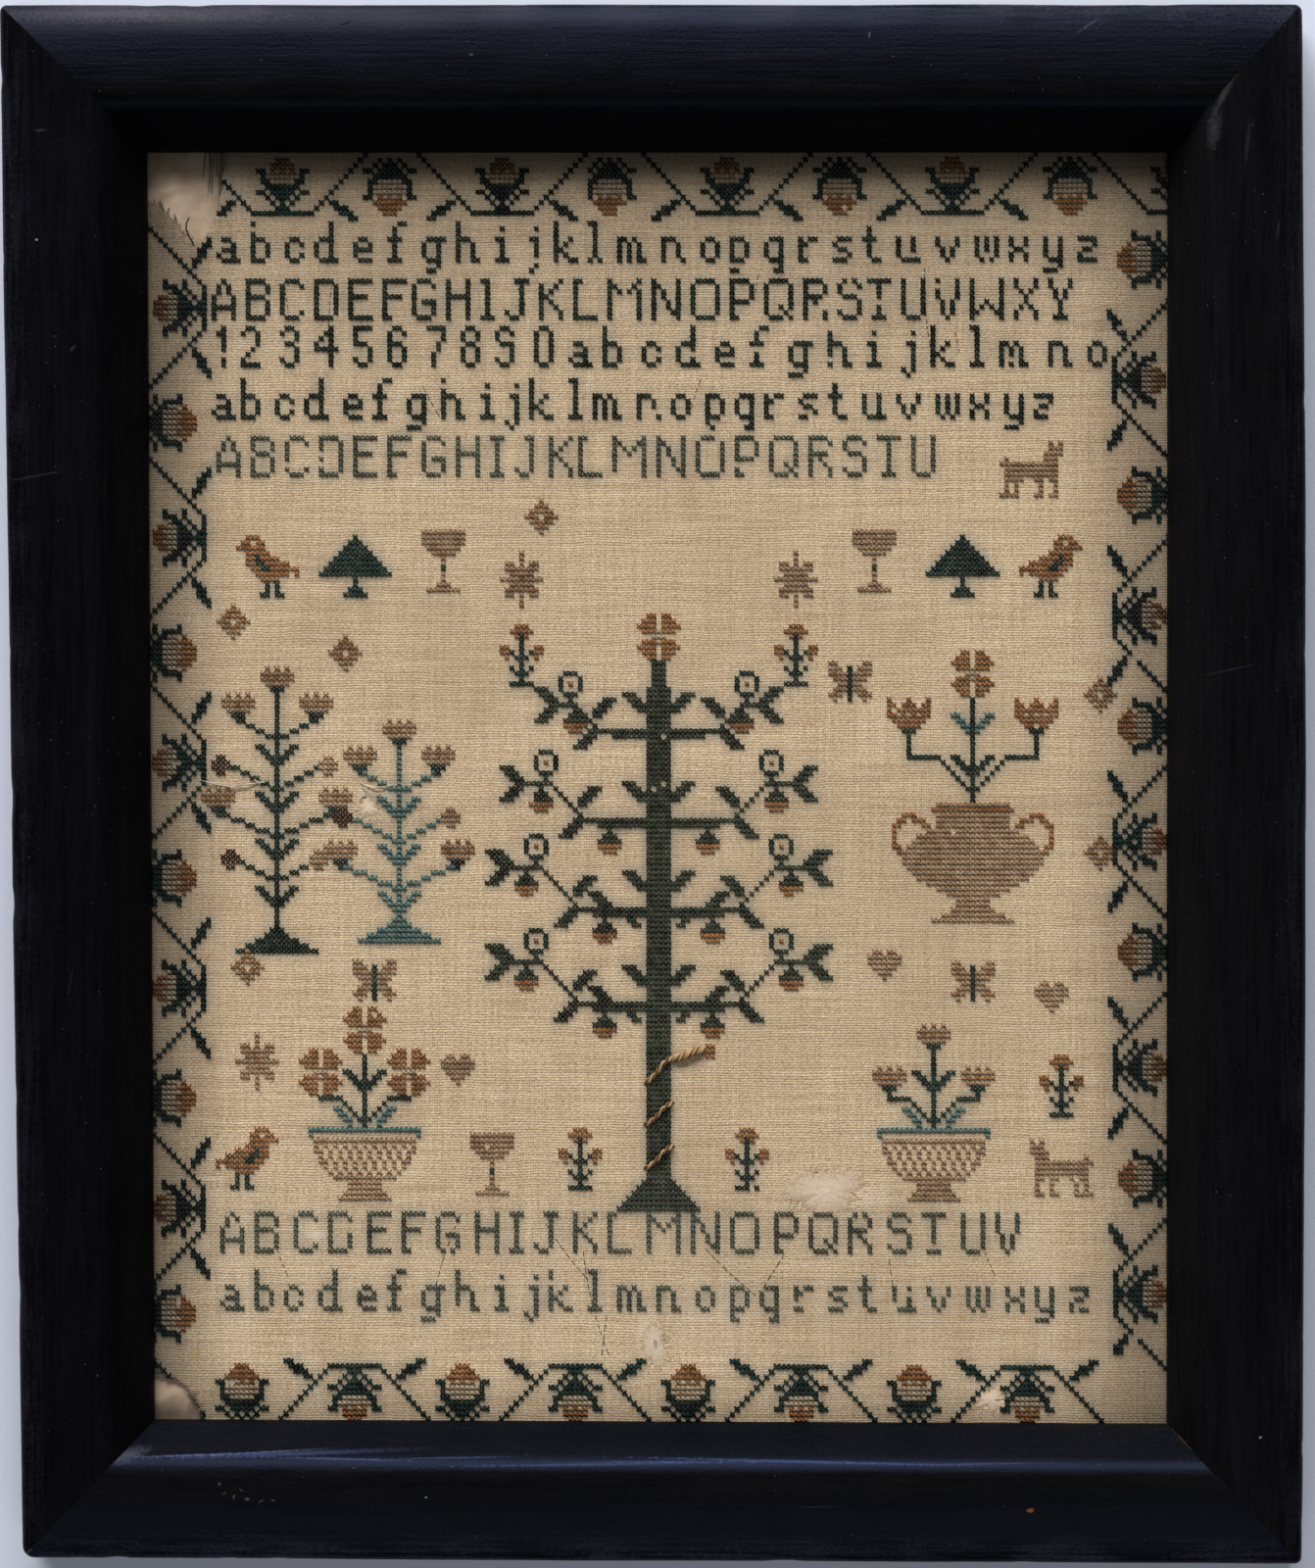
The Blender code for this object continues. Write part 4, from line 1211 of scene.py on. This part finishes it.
# Each rail: its name, its ends, the way it runs, its steps, its bow in metres, its two blacks, its grey bloom, and
# its marks, knocks and scratches and on the bottom rail painted highlight and shade: place, half length and half
# width in millimetres, turn in degrees, what shows, how strongly, and how soft its edge
RAILS = (
    ("top", "top_left", "top_right", "x", 170, 0.0, "060505", "100e0d", 0.22, (
        (-152, 223.6, 42, 2.8, 0, "706864", 0.36, 0.5), (-110, 222.6, 64, 3.6, 1, "5e5854", 0.26, 0.9),
        (20, 222.5, 70, 2.2, 0, "5c5c6c", 0.16, 0.9), (-88.9, 220.6, 2.4, 0.4, 24, "020202", 0.95, 0.1),
        (128, 220, 7, 0.5, 35, "54545c", 0.35, 0.1), (64, 217, 1.6, 0.4, 80, "6a6a70", 0.4, 0.1),
        (-52, 211, 1, 0.6, -24, "50504c", 0.4, 0.1))),
    ("right", "top_right", "bottom_right", "y", 200, 0.0012, "090808", "161412", 0.08, (
        (166.9, 199.1, 7, 0.8, 62, "6e6862", 0.26, 0.8), (164.2, 189, 4.4, 1.4, 82, "6c645e", 0.22, 0.9),
        (173.8, 185, 6, 0.6, 84, "5a5450", 0.2, 0.7), (183, 160, 3.2, 0.4, 84, "56565a", 0.22, 0.5),
        (156, -192.5, 5.6, 0.5, -46, "8a7044", 0.42, 0.1), (166, -203, 5, 0.4, -46, "6a5a44", 0.45, 0.1),
        (177.8, -190.5, 0.7, 0.5, 20, "9a9a98", 0.6, 0.1), (169, 32, 11, 0.4, 12, "2e2e30", 0.4, 0.2))),
    # The bottom rail's paler blacks are painted light, lifting its flats and bevel towards the light they catch
    ("bottom", "bottom_right", "bottom_left", "x", 170, 0.0, "0a0908", "171413", 0.3, (
        # Painted highlight: the blue streaks along the crest, y -196 to -199, and the grey patch at -150.8 are the
        # lamp's reflection painted on; the near-black band at y -192.1 is painted shade on the bevel
        (10, -198.8, 190, 1.6, 0, "38466c", 0.17, 0.7), (-105, -196.8, 42, 0.8, 2, "5c6484", 0.34, 0.3),
        (0, -192.1, 240, 6.2, 0, "030303", 0.72, 0.5), (-130, -197.2, 24, 0.4, 2, "6c7494", 0.34, 0.3),
        (-90, -198, 28, 0.4, -1, "5c688e", 0.3, 0.3), (-56, -197.6, 20, 0.3, 1, "5c688e", 0.26, 0.3),
        (8, -198.4, 26, 0.4, 0, "56648c", 0.26, 0.3), (96, -198.6, 24, 0.3, 1, "56648c", 0.24, 0.3),
        (-108, -196.2, 18, 0.3, 3, "626a88", 0.26, 0.3), (45, -198.2, 60, 0.5, -1, "5a6c9c", 0.26, 0.2),
        (-20, -199.2, 50, 0.5, 1, "56648c", 0.2, 0.2), (-150.8, -197.2, 5, 1.6, 14, "7a7c84", 0.26, 0.7),
        (-124, -205.2, 1, 0.4, 64, "847a68", 0.4, 0.2), (-122.6, -207.8, 1.1, 0.3, 30, "847a68", 0.3, 0.2),
        (-119.8, -208.8, 1.2, 0.4, 72, "847a68", 0.36, 0.2), (-117.6, -206.8, 0.9, 0.3, -40, "847a68", 0.3, 0.2),
        (-115.8, -209.4, 1, 0.5, 10, "847a68", 0.4, 0.2), (-111.8, -210, 1.2, 0.3, 34, "847a68", 0.3, 0.2),
        (-108.4, -209.8, 1, 0.4, -30, "847a68", 0.3, 0.2), (111.4, -211.7, 1.5, 0.9, 8, "9a5a2c", 0.85, 0.1),
        (-64, -208.8, 0.6, 0.5, 0, "b8b8b8", 0.7, 0.1), (50, -211, 8, 0.3, 2, "44444c", 0.35, 0.2))),
    ("left", "bottom_left", "top_left", "y", 200, 0.0, "060505", "110f0e", 0.08, (
        (-179, 88, 10, 0.4, 8, "343432", 0.4, 0.2), (-168, -60, 6, 0.3, 80, "303030", 0.42, 0.3),
        (-178, 189, 2.2, 0.4, 4, "66645e", 0.2, 0.4), (-179, 157, 0.5, 0.4, 0, "a8a8a4", 0.5, 0.1),
        (-168, 125, 1.2, 0.5, 40, "6a6862", 0.18, 0.4))),
)
for name, start, end, run, steps, bow, deep, pale, bloom, marks in RAILS:
    mesh = rail_mesh("rail_" + name + "_painted", start, end, steps, bow)
    mesh.materials.append(black_paint("brushed_black_oil_paint_" + name, run, deep, pale, bloom, marks))
    mesh.materials.append(bare_softwood("bare_pine_" + name, run, "a07c54", "6a4a2e"))
    piece = keep("rail_" + name + "_painted", mesh, None)
    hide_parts("rail_" + name)

# ---- The backboard ---------------------------------------------------------------------------------------
# One thin sawn pine board that closes the rebate, its grain running up the frame. Its solid has the right shape, so
# it keeps it and takes the wood.
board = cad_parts["backboard"]
board.material_slots[0].material = bare_softwood("sawn_pine_board", "y", "b8966a", "86623e")

# ---- The sprigs ------------------------------------------------------------------------------------------
# Ten cut iron sprigs, driven level into the rebate's wall so that they lie on the board and hold it in, black with
# old oxide. Each is a short square nail, thicker at the end that shows.
def sprig_tree():
    """The nodes that set a sprig on every point, turned the way that the point says."""
    tree, add, given = new_tree("sprigs_on_points", "Iron", Sprig_Length=0.011, Sprig_Thickness=0.0005, Wander=0.12)
    nail = add("GeometryNodeMeshCone", Vertices=4, Side_Segments=3, Radius_Top=0.00022,
               Radius_Bottom=given["Sprig Thickness"], Depth=given["Sprig Length"])
    level = add("GeometryNodeTransform", nail, Rotation=(0, math.pi / 2, 0))
    way = add("GeometryNodeInputNamedAttribute", Name="way", data_type="FLOAT")
    turn = add("CombineXYZ", Z=weighted(add, way, lean(add, given)))
    placed = add("GeometryNodeInstanceOnPoints", given["Geometry"], Instance=level, Rotation=turn)
    finish_tree(add, placed, given["Iron"])
    return tree


def iron_material():
    """Cut iron under old black oxide with brown rust in patches: a metal, dull, roughness near 0.7."""
    material, add, place = new_material("oxidised_cut_iron")
    rust = add("TexNoise", place, 900.0, 3.0)
    share = add("MapRange", rust, 0.45, 0.62)
    color = add("Mix", share, linear("3a3836"), linear("5e3a24"))
    finish_material(add, color, 0.7, rust, 0.5, 0.0002, Metallic=0.8)
    return material


wall = outline_at(REBATE_PLACE)
sprig_points, ways = [], []
for start, end, way, places in (("top_left", "top_right", -math.pi / 2, (0.22, 0.76)),
                                ("bottom_left", "bottom_right", math.pi / 2, (0.27, 0.74)),
                                ("bottom_left", "top_left", 0.0, (0.17, 0.52, 0.84)),
                                ("bottom_right", "top_right", math.pi, (0.14, 0.47, 0.83))):
    for share in places:
        at = wall[start].lerp(wall[end], share) + Vector((math.cos(way), math.sin(way))) * 0.008
        sprig_points.append((at.x, at.y, 0.00056))
        ways.append(way + math.pi)
iron = iron_material()
sprigs = keep("board_sprigs", grown("board_sprigs", sprig_points, sprig_tree(), iron, ways=ways), iron)

# ---- The floor, the light and the camera -----------------------------------------------------------------
# A wide sheet of pale matt paper under the frame, which lies face up, and one tall soft lamp low beyond its top edge
# with a little bluish fill: the bevels that face the viewer's end catch it, and the lips throw shadows on the cloth.
def floor_material():
    """Uncoated pale grey paper: plain, matt, roughness near 0.95."""
    material, add, place = new_material("uncoated_pale_paper")
    tooth = add("TexNoise", place, 900.0, 2.0)
    color = add("Mix", tooth, linear("e2dfdf"), linear("e8e5e5"))
    finish_material(add, color, 0.95, tooth, 0.2, 0.0001, Specular_IOR_Level=0.2)
    return material


paper = bpy.data.meshes.new("pale_paper_floor")
paper.from_pydata([(-6, -6, 0), (6, -6, 0), (6, 6, 0), (-6, 6, 0)], [], [(0, 1, 2, 3)])
paper.materials.append(floor_material())
floor = put_in("pale_paper_floor", paper)

LAMPS = (("soft_window_light", 3.4, 1.2, (0.8, 0.86, 1.0), 200.0, (-0.556, 2.615, 1.362)),
         ("low_bounce_light", 3.0, 1.0, (0.72, 0.82, 1.0), 26.0, (0.4, -2.1, 2.2)))
for name, size, size_y, color, energy, at in LAMPS:
    lamp = bpy.data.lights.new(name, "AREA")
    lamp.shape, lamp.size, lamp.size_y, lamp.color, lamp.energy = "RECTANGLE", size, size_y, color, energy
    aimed = (-Vector(at)).to_track_quat("-Z", "Y").to_matrix().to_4x4()
    put_in(name, lamp).matrix_world = Matrix.Translation(at) @ aimed

world = bpy.data.worlds.new("soft_fill")
world.use_nodes = True
sky = world.node_tree.nodes["Background"].inputs
sky["Color"].default_value, sky["Strength"].default_value = (0.78, 0.88, 1.0, 1.0), 0.05
bpy.context.scene.world = world
bpy.context.scene.view_settings.view_transform = "Standard"

lens = bpy.data.cameras.new("photo_camera")
lens.sensor_fit, lens.sensor_width, lens.lens = "AUTO", 36.0, 92.917
camera = put_in("photo_camera", lens)
camera.matrix_world = (Matrix.Translation((0.019, -0.016, 1.2)) @ Matrix.Rotation(math.radians(0.7), 4, "X")
                       @ Matrix.Rotation(math.radians(0.79), 4, "Y") @ Matrix.Rotation(math.radians(0.12), 4, "Z"))
bpy.context.scene.camera = camera
